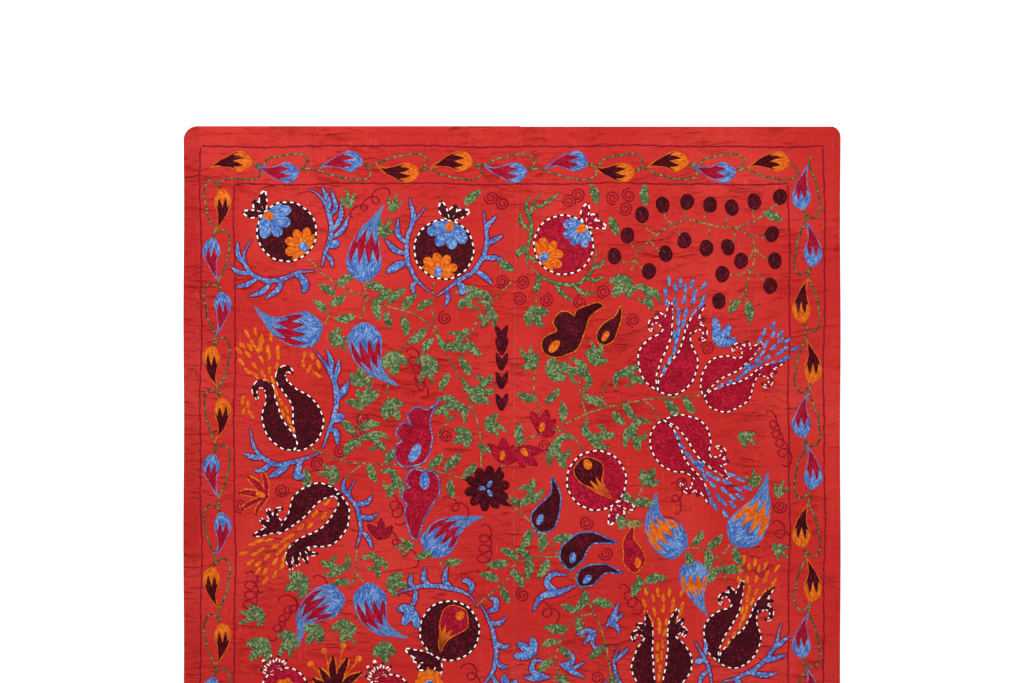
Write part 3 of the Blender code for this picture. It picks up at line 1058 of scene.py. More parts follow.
SWEPT = (
    Half(
        (
            (0, 0), (-2.0, 1.4), (-4.7, 2.1), (-7.5, 1.2), (-9.8, -0.6), (-10.6, -2.7), (-11.2, -4.9),
            (-12.4, -6.4),
        ),
        ((-1.2, -0.6), (-3.9, -1.3), (-6.7, -4.1), (-9.2, -6.3), (-11.2, -7.6), (-13.4, -8.8)),
        (
            (0.85, (-12.2, -7.2), (-15.4, -8.0), (-18.8, -9.2)),
            (0.85, (-13.2, -7.2), (-15.6, -6.6), (-17.2, -5.4)),
            (0.70, (-13.0, -6.8), (-14.8, -5.0), (-15.4, -3.0)),
            (0.50, (-12.4, -6.8), (-13.8, -5.0), (-13.3, -3.5), (-12.0, -3.4)),
        ),
    ),
    Half(
        (
            (0, 0), (1.6, -2.7), (1.9, -5.3), (1.0, -8.2), (-1.0, -10.4), (-3.5, -11.4), (-6.1, -11.3),
            (-8.2, -12.2),
        ),
        (
            (-1.2, -0.6), (-0.3, -1.9), (-1.2, -4.1), (-3.5, -7.1), (-6.1, -8.6), (-8.8, -9.8),
            (-10.6, -11.4),
        ),
        (
            (0.85, (-9.4, -11.0), (-10.9, -13.6), (-10.4, -16.6)),
            (0.75, (-9.2, -11.4), (-9.4, -14.0), (-8.8, -15.8)),
            (0.60, (-8.4, -11.6), (-7.6, -13.6), (-6.8, -15.0)),
            (0.45, (-7.8, -11.4), (-6.4, -12.8), (-4.6, -12.9)),
        ),
    ),
)
SEED = (1.22, 0.46)
SLIT_SEEDS = {LEANING: ((1.4, 4.4), (2.6, 6.4), (3.6, 8.6), (4.1, 10.6), (4.5, 12.6), (3.6, 12.0)),
              UPRIGHT: ((0.0, 3.6), (0.1, 5.6), (-0.4, 7.6), (0.5, 8.2), (-0.4, 10.0), (0.6, 10.6)),
              HOOKED: ((-0.2, 4.6), (-0.9, 6.6), (-2.2, 8.0), (-1.4, 8.8), (-2.6, 10.4), (-3.6, 12.4)),
              SWEPT: ((-2.8, -2.0), (-5.4, -4.4), (-3.4, -4.8), (-8.4, -7.2), (-6.4, -7.0), (-10.4, -9.2))}
SPRAY_FROM = {
    LEANING: (4.4, 10.4, 82),
    UPRIGHT: (0.5, 9.0, 88),
    HOOKED: (-3.4, 11.0, 112),
    SWEPT: (-8.4, -8.0, 218),
}
SPRAY = ((4.6, 2, 16), (6.8, 4, 14), (9.0, 5, 12), (11.1, 5, 11), (13.0, 4, 11))

SplitFruit = namedtuple("SplitFruit", "x down turn size halves skin seed")
SPLIT_FRUITS = (
    SplitFruit(31.0, 56.4, 0, 1.00, LEANING, "crimson", "blue"),
    SplitFruit(40.9, 57.8, -38, 0.90, LEANING, "crimson", "blue"),
    SplitFruit(32.3, 62.6, -123, 0.98, LEANING, "crimson", "blue"),
    SplitFruit(-46.6, 69.2, 0, 1.00, HOOKED, "maroon", "orange"),
    SplitFruit(-36.6, 78.2, 0, 1.00, SWEPT, "maroon", "orange"),
    SplitFruit(44.0, 114.2, -8, 0.96, LEANING, "maroon", "orange"),
    SplitFruit(31.4, 121.0, 0, 1.00, UPRIGHT, "maroon", "orange"),
)
# Loose seeds beside the hooked heads.
STRAYS = (
    (2.4, 20.5, 80), (4.0, 20.0, 100), (5.4, 18.4, 110), (3.4, 17.4, 60), (5.2, 16.2, 140), (2.2, 18.6, 95),
    (-10.8, 10.8, 80), (-9.6, 9.8, 100), (-10.6, 8.4, 60), (-9.0, 7.8, 130), (-9.8, 24.8, 120),
    (-8.0, 25.4, 100), (-8.8, 23.0, 110), (-6.6, 23.8, 95), (-10.8, 22.4, 140), (-7.0, 21.8, 110),
)
for number, fruit in enumerate(SPLIT_FRUITS):
    for end, hoop in both_ends(fruit.x, fruit.down, fruit.turn):
        hoop.spot(size=fruit.size)
        for half in fruit.halves:
            strokes(hoop, fruit.skin, "dashes", half.head, STROKE_EDGE, THORN)
            dashed_edge(hoop, hoop.patch(fruit.skin, half.outer, half.inner, lift=SLIGHT_LIFT))
            strokes(hoop, fruit.skin, None, half.head, 0, THORN, EDGE_LIFT)
        x0, y0, lean = SPRAY_FROM[fruit.halves]
        for x, y in SLIT_SEEDS[fruit.halves]:
            hoop.rings(fruit.seed, SEED, (x, y), lean + 2 * (x - x0), EDGE_LIFT)
        for distance, count, spread in SPRAY:
            for place in range(count):
                toward = lean + spread * (place - (count - 1) / 2)
                x, y = (x0, y0) + polar(toward, distance + 0.5 * math.sin(5 * place + distance))
                turn = toward + 5 * math.sin(9 * distance + 5 * place)
                hoop.rings(fruit.seed, SEED, (x, y), turn, SLIGHT_LIFT)
        for x, y, turn in STRAYS if fruit.halves is HOOKED else ():
            hoop.rings(fruit.seed, SEED, (x, y), turn, SLIGHT_LIFT)
        hoop.finish(f"split_pomegranate_{number + 1}_{end}", f"{fruit.skin}_thread")


# ---------------------------------------------------------------------------------------------
# Acanthus brackets: thin thorned branches in blue with a wine edge, or in plain green, that
# clasp the fruits. Each has a spine and thorns that leave it, and most a round leaf near its foot.
# ---------------------------------------------------------------------------------------------
BRACKET_EDGE = 0.27
BARB = (0.45, 0.9, 1.05, 0.7, 0.06)
SLIM = {SPINE: 0.66, BARB: 0.95, DROP: 0.95}

# Thread, spine, thorns and leaves. Each stroke is its half width and its places from the foot.
Bracket = namedtuple("Bracket", "thread spine thorns leaves")
BRACKETS = (
    Bracket(
        "blue",
        (0.75, (-40.7, 30.2), (-39.8, 27.0), (-38.5, 22.6), (-39.2, 18.0), (-41.0, 14.8), (-43.4, 13.4)),
        (
            (0.55, (-39.2, 18.0), (-39.0, 16.2), (-40.6, 12.6)),
            (0.55, (-38.8, 19.6), (-37.6, 17.0), (-38.6, 13.4)),
            (0.6, (-38.5, 22.4), (-36.6, 19.8), (-36.4, 16.0)),
            (0.6, (-38.6, 24.0), (-36.2, 22.2), (-34.6, 19.0)),
            (0.5, (-39.8, 27.0), (-38.6, 28.4), (-38.2, 30.4)),
        ),
        ((0.95, (-39.2, 25.6), (-37.9, 25.2), (-36.7, 24.4)),),
    ),
    Bracket(
        "blue",
        (0.8, (-41.8, 30.9), (-45.5, 31.2), (-50.5, 33.0), (-55.0, 31.8), (-57.2, 28.2), (-55.4, 23.8)),
        (
            (0.55, (-57.0, 29.4), (-58.3, 27.6), (-58.4, 24.4)),
            (0.55, (-55.6, 31.4), (-58.2, 31.2), (-60.2, 29.6)),
            (0.55, (-54.2, 32.4), (-56.6, 33.8), (-59.0, 34.4)),
            (0.6, (-51.2, 33.0), (-53.4, 35.4), (-56.4, 36.4)),
            (0.6, (-48.6, 32.6), (-50.2, 35.2), (-52.8, 37.0)),
        ),
        ((0.85, (-46.4, 31.6), (-44.6, 32.6), (-43.9, 34.6), (-45.0, 35.2)),),
    ),
    Bracket(
        "blue", (0.75, (-17.2, 35.6), (-20.6, 32.4), (-22.4, 27.6), (-21.8, 22.0), (-18.2, 17.0)),
        (
            (0.55, (-22.0, 23.0), (-21.0, 19.6), (-21.8, 15.0)),
            (0.55, (-22.4, 25.0), (-24.4, 22.8), (-24.2, 19.4)),
            (0.6, (-22.4, 27.2), (-25.0, 26.4), (-27.2, 23.8)),
            (0.5, (-20.0, 33.0), (-21.2, 34.0), (-20.8, 36.2)),
        ),
        ((0.9, (-22.0, 29.2), (-24.2, 29.6), (-26.8, 31.4)),),
    ),
    Bracket(
        "blue", (0.75, (-16.4, 36.6), (-12.4, 33.6), (-7.6, 30.2), (-5.4, 25.0), (-6.2, 17.6)),
        (
            (0.55, (-5.6, 23.8), (-5.2, 21.4), (-3.0, 18.8)),
            (0.55, (-5.5, 25.8), (-4.4, 24.6), (-1.6, 23.2)),
            (0.6, (-6.4, 28.2), (-4.4, 28.0), (-1.8, 28.4)),
            (0.6, (-8.4, 30.8), (-6.2, 31.8), (-4.0, 33.8)),
            (0.5, (-14.0, 34.8), (-13.6, 36.4), (-14.4, 38.6)),
        ),
        ((0.85, (-11.8, 33.0), (-10.6, 34.6), (-10.8, 36.2)),),
    ),
    Bracket(
        "green", (0.7, (3.4, 30.2), (3.2, 26.6), (4.2, 22.4), (4.0, 18.2), (6.4, 13.6)),
        (
            (0.5, (4.2, 20.4), (3.0, 17.6), (3.8, 14.6)), (0.5, (4.1, 17.6), (7.0, 16.6), (10.4, 14.0)),
            (0.55, (4.1, 22.6), (2.0, 20.6), (1.8, 17.8)), (0.5, (3.2, 27.6), (4.6, 28.4), (5.2, 29.6)),
        ),
        ((0.9, (3.3, 26.0), (2.0, 26.4), (1.2, 28.0)),),
    ),
    Bracket(
        "green", (0.7, (3.6, 30.2), (8.0, 33.0), (13.4, 33.8), (17.0, 30.8), (18.2, 25.8)),
        (
            (0.5, (17.2, 30.2), (19.0, 29.6), (20.0, 27.8)),
            (0.5, (15.6, 32.6), (18.2, 32.8), (20.0, 31.8)),
            (0.55, (13.0, 33.8), (15.2, 35.6), (18.0, 35.4)),
            (0.55, (9.0, 33.2), (11.0, 36.0), (13.4, 37.4)),
        ),
        ((0.8, (5.6, 31.8), (5.6, 33.6), (4.4, 35.2)),),
    ),
    Bracket(
        "blue", (0.8, (-41.0, 69.6), (-45.5, 71.3), (-50.8, 72.0), (-54.8, 68.6), (-55.8, 64.0)),
        (
            (0.6, (-53.2, 70.6), (-55.2, 70.6), (-57.4, 69.6)),
            (0.6, (-50.8, 71.6), (-53.0, 73.2), (-55.2, 73.4)),
            (0.8, (-47.6, 71.6), (-49.0, 73.2), (-52.0, 75.0)),
        ),
        ((0.85, (-44.6, 71.0), (-45.4, 72.6), (-45.8, 74.8), (-43.8, 74.2)),),
    ),
    Bracket(
        "blue",
        (0.85, (-40.4, 68.8), (-39.0, 64.8), (-37.6, 60.6), (-37.5, 56.0), (-39.2, 51.6), (-42.4, 47.4)),
        (
            (0.6, (-38.5, 53.0), (-38.6, 50.0), (-39.4, 47.4)),
            (0.6, (-37.9, 54.8), (-37.2, 52.0), (-36.8, 49.4)),
            (0.8, (-37.6, 58.6), (-36.0, 56.6), (-34.7, 54.2)),
            (0.7, (-39.0, 64.4), (-37.4, 65.4), (-37.2, 68.2)),
        ),
        ((0.95, (-38.2, 63.0), (-36.9, 62.2), (-35.7, 61.4)),),
    ),
    Bracket(
        "blue", (0.7, (-33.2, 90.2), (-32.2, 86.0), (-33.0, 81.6), (-34.8, 78.4), (-33.2, 75.2)),
        (
            (0.6, (-33.6, 80.4), (-31.2, 80.4), (-29.6, 78.6)),
            (0.6, (-32.6, 83.0), (-30.4, 83.6), (-28.6, 82.4)),
            (0.5, (-32.2, 86.4), (-30.6, 87.8), (-29.6, 90.4)),
            (0.5, (-34.0, 79.4), (-36.0, 77.2), (-35.4, 74.6)),
        ),
        (),
    ),
    Bracket(
        "blue", (0.75, (-24.6, 99.6), (-19.2, 98.0), (-14.2, 98.3), (-9.6, 99.6), (-7.4, 102.2)),
        (
            (0.55, (-20.4, 98.4), (-21.6, 97.4), (-21.4, 95.2)),
            (0.6, (-17.2, 98.0), (-18.8, 96.4), (-18.4, 93.8)),
            (0.6, (-12.6, 98.6), (-14.4, 96.6), (-13.6, 93.6)),
            (0.55, (-20.6, 98.6), (-20.6, 100.8), (-22.0, 103.0)),
        ),
        ((0.7, (-9.0, 99.8), (-8.6, 98.2), (-9.6, 96.8), (-10.8, 97.2)),),
    ),
    Bracket(
        "blue", (0.75, (-6.8, 101.8), (-4.4, 106.6), (-3.4, 112.6), (-4.6, 117.2), (-8.4, 121.0)),
        (
            (0.55, (-4.8, 105.6), (-2.8, 106.0), (-1.2, 104.6)),
            (0.6, (-3.6, 110.0), (-1.8, 111.0), (-0.2, 110.4)),
            (0.6, (-3.6, 113.8), (-2.0, 115.2), (-0.6, 115.0)),
            (0.55, (-4.4, 117.0), (-3.0, 119.2), (-3.2, 121.4)),
        ),
        ((0.7, (-5.6, 103.6), (-3.6, 102.8), (-3.4, 101.0), (-5.0, 100.6)),),
    ),
    Bracket(
        "blue", (0.75, (44.4, 118.6), (48.8, 117.2), (53.2, 114.6), (56.0, 110.8), (57.4, 105.6)),
        (
            (0.55, (55.6, 111.6), (57.6, 109.8), (59.4, 108.6)),
            (0.55, (53.6, 114.2), (56.4, 113.2), (58.8, 112.8)),
            (0.6, (50.4, 116.4), (53.6, 117.0), (56.8, 116.4)),
        ),
        ((0.85, (47.6, 117.6), (48.4, 119.2), (48.2, 120.8)),),
    ),
    Bracket(
        "blue", (0.6, (42.6, 119.6), (42.0, 115.6), (40.4, 112.4), (38.8, 109.4)),
        (
            (0.5, (40.9, 113.4), (41.4, 110.8), (40.6, 109.0)),
            (0.5, (42.0, 116.0), (40.4, 117.2), (39.8, 119.6)),
        ),
        ((0.75, (41.0, 113.6), (39.6, 114.0), (38.8, 114.0)),),
    ),
    Bracket(
        "blue", (0.65, (28.2, 122.6), (24.6, 120.4), (22.2, 117.0), (21.8, 113.8), (22.8, 110.4)),
        (
            (0.5, (21.9, 114.2), (23.4, 112.6), (25.0, 111.0)),
            (0.5, (23.6, 119.4), (21.2, 119.4), (19.4, 118.0)),
        ),
        (),
    ),
)
for number, bracket in enumerate(BRACKETS):
    edges = (("wine", BRACKET_EDGE, 0.0),) if bracket.thread == "blue" else ()
    kinds = ((BARB, bracket.thorns), (SPINE, [bracket.spine]), (DROP, bracket.leaves))
    for end, hoop in whole_design(max(down for _, down in bracket.spine[1:])):
        for thread, wider, lift in (*edges, (bracket.thread, 0.0, EDGE_LIFT)):
            for kind, parts in kinds:
                for half, *points in parts:
                    widths = np.multiply(kind, SLIM[kind] * half) + wider
                    hoop.blade(thread, at(points), widths, lift=lift)
        hoop.finish(f"bracket_{number + 1}_{end}", f"{bracket.thread}_thread")


# ---------------------------------------------------------------------------------------------
# Stems: single green rows that branch all over the field and carry the flowers and the fruits.
# ---------------------------------------------------------------------------------------------
STEM_WIDTH = 0.42
CARRIED_ON = 6.0
STEMS = (
    (
        (-43.7, 28.0), (-38.3, 33.0), (-31.0, 36.6), (-25.6, 38.7), (-21.1, 40.0), (-17.5, 42.5),
        (-14.8, 47.0), (-13.4, 49.7), (-10.7, 54.2), (-8.5, 59.6), (-6.9, 65.0), (-6.5, 73.0),
    ),
    ((-16.6, 32.9), (-17.0, 39.3), (-15.5, 45.6)), ((0.0, 33.0), (-5.8, 39.3), (-8.9, 44.3), (-11.2, 50.6)),
    ((6.2, 32.0), (5.4, 36.0), (4.6, 41.0)),
    (
        (-42.8, 68.6), (-36.0, 71.3), (-30.1, 72.0), (-21.6, 72.4), (-12.5, 74.5), (-5.8, 76.5),
        (0.0, 80.8), (4.5, 85.0), (10.0, 91.8), (14.0, 97.2), (17.6, 104.0), (19.9, 109.9), (21.3, 117.1),
        (24.6, 121.4),
    ),
    (
        (-2.4, 73.0), (0.0, 69.1), (5.9, 65.5), (10.9, 63.7), (15.8, 61.4), (20.4, 59.9), (27.2, 58.5),
        (33.9, 57.8), (40.4, 57.4),
    ),
    ((28.1, 58.7), (30.0, 60.0), (31.4, 63.0)), ((7.7, 64.6), (12.2, 65.5), (15.2, 69.3)),
    ((10.0, 91.8), (4.5, 92.0), (0.0, 94.0), (-0.8, 96.3), (-7.8, 102.4)),
    ((17.4, 103.8), (13.6, 104.9), (10.9, 108.5), (9.3, 113.1), (9.5, 117.1), (7.0, 121.0)),
    ((37.1, 89.7), (40.7, 90.2), (44.1, 92.2), (44.8, 95.0), (46.0, 97.0)), ((46.6, 88.8), (44.6, 91.8)),
    ((-31.5, 33.1), (-31.0, 36.6)), ((-31.0, 36.6), (-31.6, 39.4), (-32.6, 41.4)),
    ((-40.2, 42.6), (-38.9, 40.4), (-38.0, 37.4), (-37.6, 33.6)),
    ((-31.9, 72.2), (-34.4, 74.0), (-36.5, 77.4)), ((-15.6, 92.6), (-14.4, 94.6), (-14.4, 97.6)),
    ((-33.1, 90.0), (-33.3, 95.0), (-34.6, 99.0)), ((-33.3, 95.0), (-32.4, 96.4), (-31.2, 97.2)),
    ((-20.0, 44.5), (-24.6, 48.6), (-26.4, 54.2), (-26.2, 60.0)),
    ((-8.5, 59.6), (-13.0, 62.4), (-16.0, 66.4)),
    ((-36.0, 71.3), (-34.0, 67.4), (-32.4, 62.6), (-32.2, 58.6)),
    ((5.9, 65.5), (5.6, 60.6), (4.6, 55.6), (5.4, 50.0)), ((15.8, 61.4), (14.6, 57.4), (14.2, 52.4)),
    ((20.4, 59.9), (19.2, 57.6), (20.8, 54.0)), ((22.6, 86.2), (25.8, 81.0), (28.2, 76.4)),
    ((26.4, 95.4), (28.0, 97.6), (29.6, 99.8)),
    (
        (25.3, 31.0), (27.1, 26.8), (30.8, 23.2), (34.4, 20.9), (37.6, 20.0), (40.7, 20.7), (45.3, 21.6),
        (48.9, 21.3), (52.9, 19.5), (56.2, 16.6),
    ),
    ((47.5, 21.5), (51.1, 24.1), (51.8, 27.7), (50.2, 33.1), (49.8, 37.4)),
    ((-26.0, 129.0), (-14.0, 126.4), (0.0, 127.2), (13.0, 125.4), (28.0, 127.4)),
)
for number, stem in enumerate(STEMS):
    for end, hoop in whole_design():
        shown = [place for place in stem if end == "upper" or place[1] < TURNED_ABOVE + CARRIED_ON]
        if len(shown) > 1 and (end == "upper" or stem[0][1] < TURNED_ABOVE):
            hoop.row("green", at(shown), STEM_WIDTH)
            hoop.finish(f"stem_{number + 1}_{end}", "green_thread")


# ---------------------------------------------------------------------------------------------
# Leaves: small ovals along the stems, bigger ones with lobes, ones that curl round a hole, and
# sprigs of three blades. They are worked a patch of the cover at a time.
# ---------------------------------------------------------------------------------------------
PATCH = 24.0
OVAL_HALF_WIDTHS = (0.1224, 0.765, 1.02, 0.969, 0.612, 0.102)
ROLLED_HALF_WIDTHS = (1.0, 0.9, 0.7, 0.45, 0.1)
SPRIG_HALF_WIDTHS = (0.15, 0.55, 0.6, 0.4, 0.06)
LEAF_SIZES = (0.84, 1.12)


def toward_tip(x, down):
    """The turn of a leaf: away from the nearest stem and a little along it."""
    nearest, turn = 1e9, 90.0
    for stem in STEMS:
        line = smooth(at(stem))
        away = (x, -down) - line
        distance = np.hypot(*away.T)
        k = int(distance.argmin())
        if distance[k] < nearest:
            course = line[min(k + 1, len(line) - 1)] - line[max(k - 1, 0)]
            course = course / np.hypot(*course)
            heading = away[k] / max(distance[k], 0.8) + 0.55 * course
            nearest, turn = distance[k], math.degrees(math.atan2(heading[1], heading[0]))
    return turn


def oval_leaf(hoop, size):
    """A plain leaf with two pointed ends."""
    spine = [(-2.5 * size, 0), (0, 0.25), (2.5 * size, -0.15)]
    hoop.blade("green", spine, np.multiply(OVAL_HALF_WIDTHS, size))


def leaflets(hoop, size, parts):
    """Leaflets given as (half width, kind, points...)."""
    for half, kind, *points in parts:
        hoop.blade("green", np.multiply(points, size), np.multiply(kind, half * size))


def lobed_leaf(hoop, size):
    """A leaf of three round lobes."""
    leaflets(hoop, size, (
        (1.15, DROP, (-2.6, 0.0), (0.2, 0.1), (2.9, 0.2)),
        (0.95, DROP, (-2.2, 0.1), (-0.9, 1.3), (0.7, 2.8)),
        (0.95, DROP, (-2.2, -0.1), (-0.6, -1.4), (1.4, -2.2)),
    ))


def palm_leaf(hoop, size):
    """A leaf of two points between two lobes."""
    leaflets(hoop, size, (
        (1.05, THORN, (-2.4, -0.2), (0.6, 0.2), (4.2, 0.9)),
        (0.90, DROP, (-1.8, 0.2), (-0.8, 1.6), (0.4, 2.6)),
        (0.80, THORN, (-1.2, 0.2), (0.8, 1.5), (2.4, 3.4)),
        (0.80, DROP, (-1.8, -0.2), (-0.6, -1.4), (0.8, -2.1)),
    ))


def curled_leaf(hoop, size):
    """A leaf with one lobe rolled round a hole."""
    rolled = polar(np.linspace(-95, 150, 12), 1.35 * size)
    hoop.blade("green", rolled, np.multiply(ROLLED_HALF_WIDTHS, size))
    leaflets(hoop, size, (
        (1.05, THORN, (-0.4, -1.5), (2.0, -1.9), (4.4, -0.6)),
        (0.95, THORN, (0.3, -1.5), (-2.0, -1.5), (-3.4, 1.2)),
        (0.85, DROP, (1.0, -0.6), (2.2, 0.8), (3.0, 2.3)),
    ))


def sprig(hoop, size):
    """Three blades from one foot."""
    for lean, reach in ((-34, 3.7), (0, 4.6), (32, 3.8)):
        middle = polar(lean, reach * 0.45 * size) - (1.5, 0)
        tip = polar(lean, reach * size) - (1.6, 0)
        hoop.blade("green", [(-2, 0), middle, tip], np.multiply(SPRIG_HALF_WIDTHS, size))


LEAVES = {
    oval_leaf: (
        (-35.3, 32.8), (-39.6, 34.9), (-37.1, 37.0), (-41.0, 38.4), (-35.6, 40.8), (-29.0, 34.4),
        (-27.4, 36.0), (-24.6, 36.2), (-21.8, 37.4), (-18.6, 38.2), (-29.0, 39.2), (-26.3, 41.2),
        (-22.9, 42.7), (-20.2, 44.7), (-18.0, 46.9), (-14.3, 54.6), (-10.1, 51.3), (-6.9, 58.4),
        (-5.4, 68.6), (-8.1, 47.4), (-8.3, 15.2), (-1.4, 29.4), (17.4, 14.4), (28.4, 14.6), (21.5, 21.3),
        (3.2, 57.6), (8.6, 57.4), (10.7, 60.8), (17.3, 58.2), (1.7, 65.6), (22.8, 62.2), (25.2, 60.8),
        (34.1, 60.4), (37.9, 59.5), (-33.6, 59.4), (-30.3, 58.4), (-35.1, 64.2), (-30.4, 63.9),
        (-34.3, 68.3), (-25.6, 70.2), (-16.2, 71.3), (-12.5, 71.7), (-9.0, 73.2), (-12.8, 77.4),
        (-29.7, 73.9), (-43.9, 75.5), (-18.6, 91.6), (-12.5, 92.7), (-4.9, 96.1), (-3.1, 93.2),
        (-0.6, 91.2), (-1.3, 99.9), (-36.4, 97.4), (24.4, 79.6), (28.0, 80.4), (22.8, 84.0), (26.0, 84.6),
        (10.7, 87.6), (6.3, 88.5), (3.0, 88.0), (2.5, 91.3), (6.6, 94.3), (3.4, 94.4), (1.2, 96.5),
        (14.9, 101.3), (12.2, 102.9), (9.3, 106.9), (8.1, 110.3), (14.7, 106.9), (19.3, 101.8),
        (18.2, 112.3), (7.0, 115.2), (11.8, 112.2), (11.0, 118.6), (30.6, 96.6), (26.3, 98.3), (39.6, 87.7),
        (43.2, 88.5), (38.2, 92.6), (41.7, 92.6), (48.2, 91.8), (46.9, 94.7), (43.0, 95.8), (50.4, 39.6),
        (47.4, 38.6), (55.6, 19.4), (22.3, 118.6), (-19.0, 125.0), (-15.2, 128.4), (-9.2, 124.2),
        (-5.2, 128.6), (3.0, 125.2), (8.0, 128.4), (12.0, 123.2), (17.2, 127.8), (21.2, 124.4),
        (25.0, 129.0), (-23.6, 129.4),
    ),
    lobed_leaf: (
        (-25.2, 50.4), (-25.6, 60.4), (-10.5, 66.3), (5.0, 40.6), (9.6, 51.9), (29.1, 74.9), (-45.7, 97.6),
        (-24.6, 97.4), (-53.9, 111.4), (-42.2, 108.2), (-27.2, 112.0), (23.3, 34.1), (-32.4, 53.6),
    ),
    palm_leaf: (
        (-37.0, 45.0), (-18.3, 51.1), (-31.4, 57.2), (-3.9, 63.3), (3.6, 50.1), (18.3, 49.0),
        (-54.7, 104.6), (-48.0, 109.7), (-36.0, 107.4), (-38.6, 74.6),
    ),
    curled_leaf: (
        (-7.9, 37.3), (-5.8, 39.9), (-12.6, 45.3), (-7.4, 54.8), (-12.7, 60.9), (-29.9, 67.6),
        (-26.1, 75.9), (14.0, 53.4), (24.6, 54.0), (18.1, 65.1), (27.1, 65.4), (10.9, 69.0), (2.7, 78.2),
        (-37.3, 93.1), (-29.7, 93.4), (28.1, 36.3),
    ),
    sprig: (
        (-34.9, 15.8), (-25.2, 16.6), (-27.2, 22.2), (-22.7, 89.5), (51.6, 75.4), (57.1, 77.4),
        (49.8, 66.5), (57.0, 90.4),
    ),
}
OFF_STEM_TURN = {
    (-34.9, 15.8): 100,
    (-25.2, 16.6): 70,
    (-27.2, 22.2): 60,
    (51.6, 75.4): 95,
    (57.1, 77.4): 70,
}


def patches(places):
    """Places gathered by the patch of the cover that they fall in."""
    gathered = {}
    for place in places:
        gathered.setdefault((int(place[0] // PATCH), int(place[1] // PATCH)), []).append(place)
    return gathered.items()


def work_patches(name, places, slot, draw_one):
    """Work small motifs, a patch at a time, at the upper and at the lower end."""
    for (column, line), members in patches(places):
        for end, hoop in whole_design():
            shown = [m for m in members if end == "upper" or m[1] < TURNED_ABOVE + 1.0]
            for member in shown:
                draw_one(hoop, member)
            if shown:
                hoop.finish(f"{name}_{column + 3}_{line + 1}_{end}", slot)


def draw_leaf(hoop, place):
    """A leaf of the kind given, its size by its place and its turn by the stem nearest to it."""
    x, down, kind = place
    lot = (x * 7.31 + down * 3.77) % 1
    turn = OFF_STEM_TURN.get((x, down), toward_tip(x, down))
    hoop.spot(x, -down, turn, 1, 1 if lot > 0.5 else -1)
    smallest, largest = LEAF_SIZES
    kind(hoop, smallest + (largest - smallest) * lot)


every_leaf = [(x, down, kind) for kind, places in LEAVES.items() for x, down in places]
work_patches("leaves", every_leaf, "green_thread", draw_leaf)


# ---------------------------------------------------------------------------------------------
# Berries: maroon ovals on short green stalks.
# ---------------------------------------------------------------------------------------------
BERRY = (1.5, 1.78)
BERRY_LIFT = 0.0003
STALK_WIDTH = 0.34
# A berry, and the place on the branch where its stalk starts.
BERRIES = (
    (27.7, 18.9, 30.8, 23.2), (32.1, 16.8, 34.4, 20.9), (37.3, 16.1, 37.6, 20.0), (42.2, 16.8, 40.7, 20.7),
    (46.8, 17.4, 45.3, 21.6), (51.6, 16.1, 52.0, 19.8), (57.1, 15.1, 55.9, 16.8), (24.6, 23.3, 27.6, 26.2),
    (36.7, 24.4, 34.4, 20.9), (32.7, 27.2, 29.4, 24.4), (21.8, 27.7, 26.2, 28.6), (29.2, 30.9, 26.2, 28.6),
    (41.4, 26.0, 41.8, 20.9), (46.0, 25.8, 47.5, 21.5), (55.4, 23.0, 50.4, 22.8), (48.8, 28.7, 51.6, 26.0),
    (56.0, 28.7, 51.6, 26.0), (44.8, 31.5, 51.2, 30.2), (55.0, 34.0, 51.2, 30.2), (44.1, 37.3, 50.0, 35.2),
)


def draw_berry(hoop, place):
    """A berry on a stalk that bows a little."""
    x, down, foot_x, foot_down = place
    middle = ((x + foot_x) / 2 + 0.12 * (down - foot_down), (down + foot_down) / 2 + 0.9)
    hoop.row("green", at([(foot_x, foot_down), middle, (x, down)]), STALK_WIDTH)
    hoop.rings("maroon", BERRY, (x, -down), 8 * math.sin(x), BERRY_LIFT)


work_patches("berries", BERRIES, "maroon_thread", draw_berry)


# ---------------------------------------------------------------------------------------------
# Scrolls: wine tendrils in one thin row, rolled into spirals or thrown into loops.
# ---------------------------------------------------------------------------------------------
SCROLL_WIDTH = 0.42
SPIRAL_TURNS = 2.15
LOOP_REACH = (1.35, 1.15)
SPIRALS = (
    (-4.4, 15.2), (-2.0, 16.4), (-14.3, 40.9), (-2.2, 33.0), (12.0, 16.1), (14.0, 14.6), (21.5, 15.2),
    (24.9, 14.8), (24.2, 17.5), (2.3, 33.1), (1.6, 36.9), (7.2, 37.1), (14.5, 37.6), (19.6, 35.3),
    (25.8, 41.3), (-31.7, 62.5), (-32.6, 65.5), (-36.4, 69.3), (-41.4, 71.8), (-49.1, 77.6), (-14.1, 65.9),
    (6.8, 68.3), (57.0, 81.1), (15.8, 84.5), (20.1, 91.1), (2.3, 99.9), (18.1, 117.6), (41.6, 47.4),
    (-57.9, 81.0), (53.0, 94.6), (36.0, 76.2),
)
# Loops between two places, and how many.
LOOPS = (
    (-33.5, 19.4, -26.3, 15.0, 3), (-22.4, 48.5, -19.5, 57.3, 5), (-26.4, 79.4, -25.0, 84.4, 3),
    (-14.4, 80.0, -10.8, 83.6, 2), (-6.6, 85.6, -7.6, 94.2, 4), (-27.4, 86.8, -21.4, 93.8, 3),
    (-47.3, 100.8, -51.8, 108.4, 4), (-49.6, 101.6, -45.0, 105.6, 2), (54.3, 61.7, 57.4, 71.9, 5),
    (33.8, 76.8, 34.4, 82.0, 2), (55.6, 85.0, 56.8, 89.4, 2), (23.2, 98.8, 25.6, 103.6, 3),
    (5.4, 102.6, 8.0, 106.0, 2), (-10.6, 116.0, -8.0, 119.4, 2), (-56.6, 95.6, -57.4, 104.0, 4),
    (-42.4, 96.6, -41.2, 105.0, 3), (-24.2, 100.6, -21.0, 106.8, 2),
)


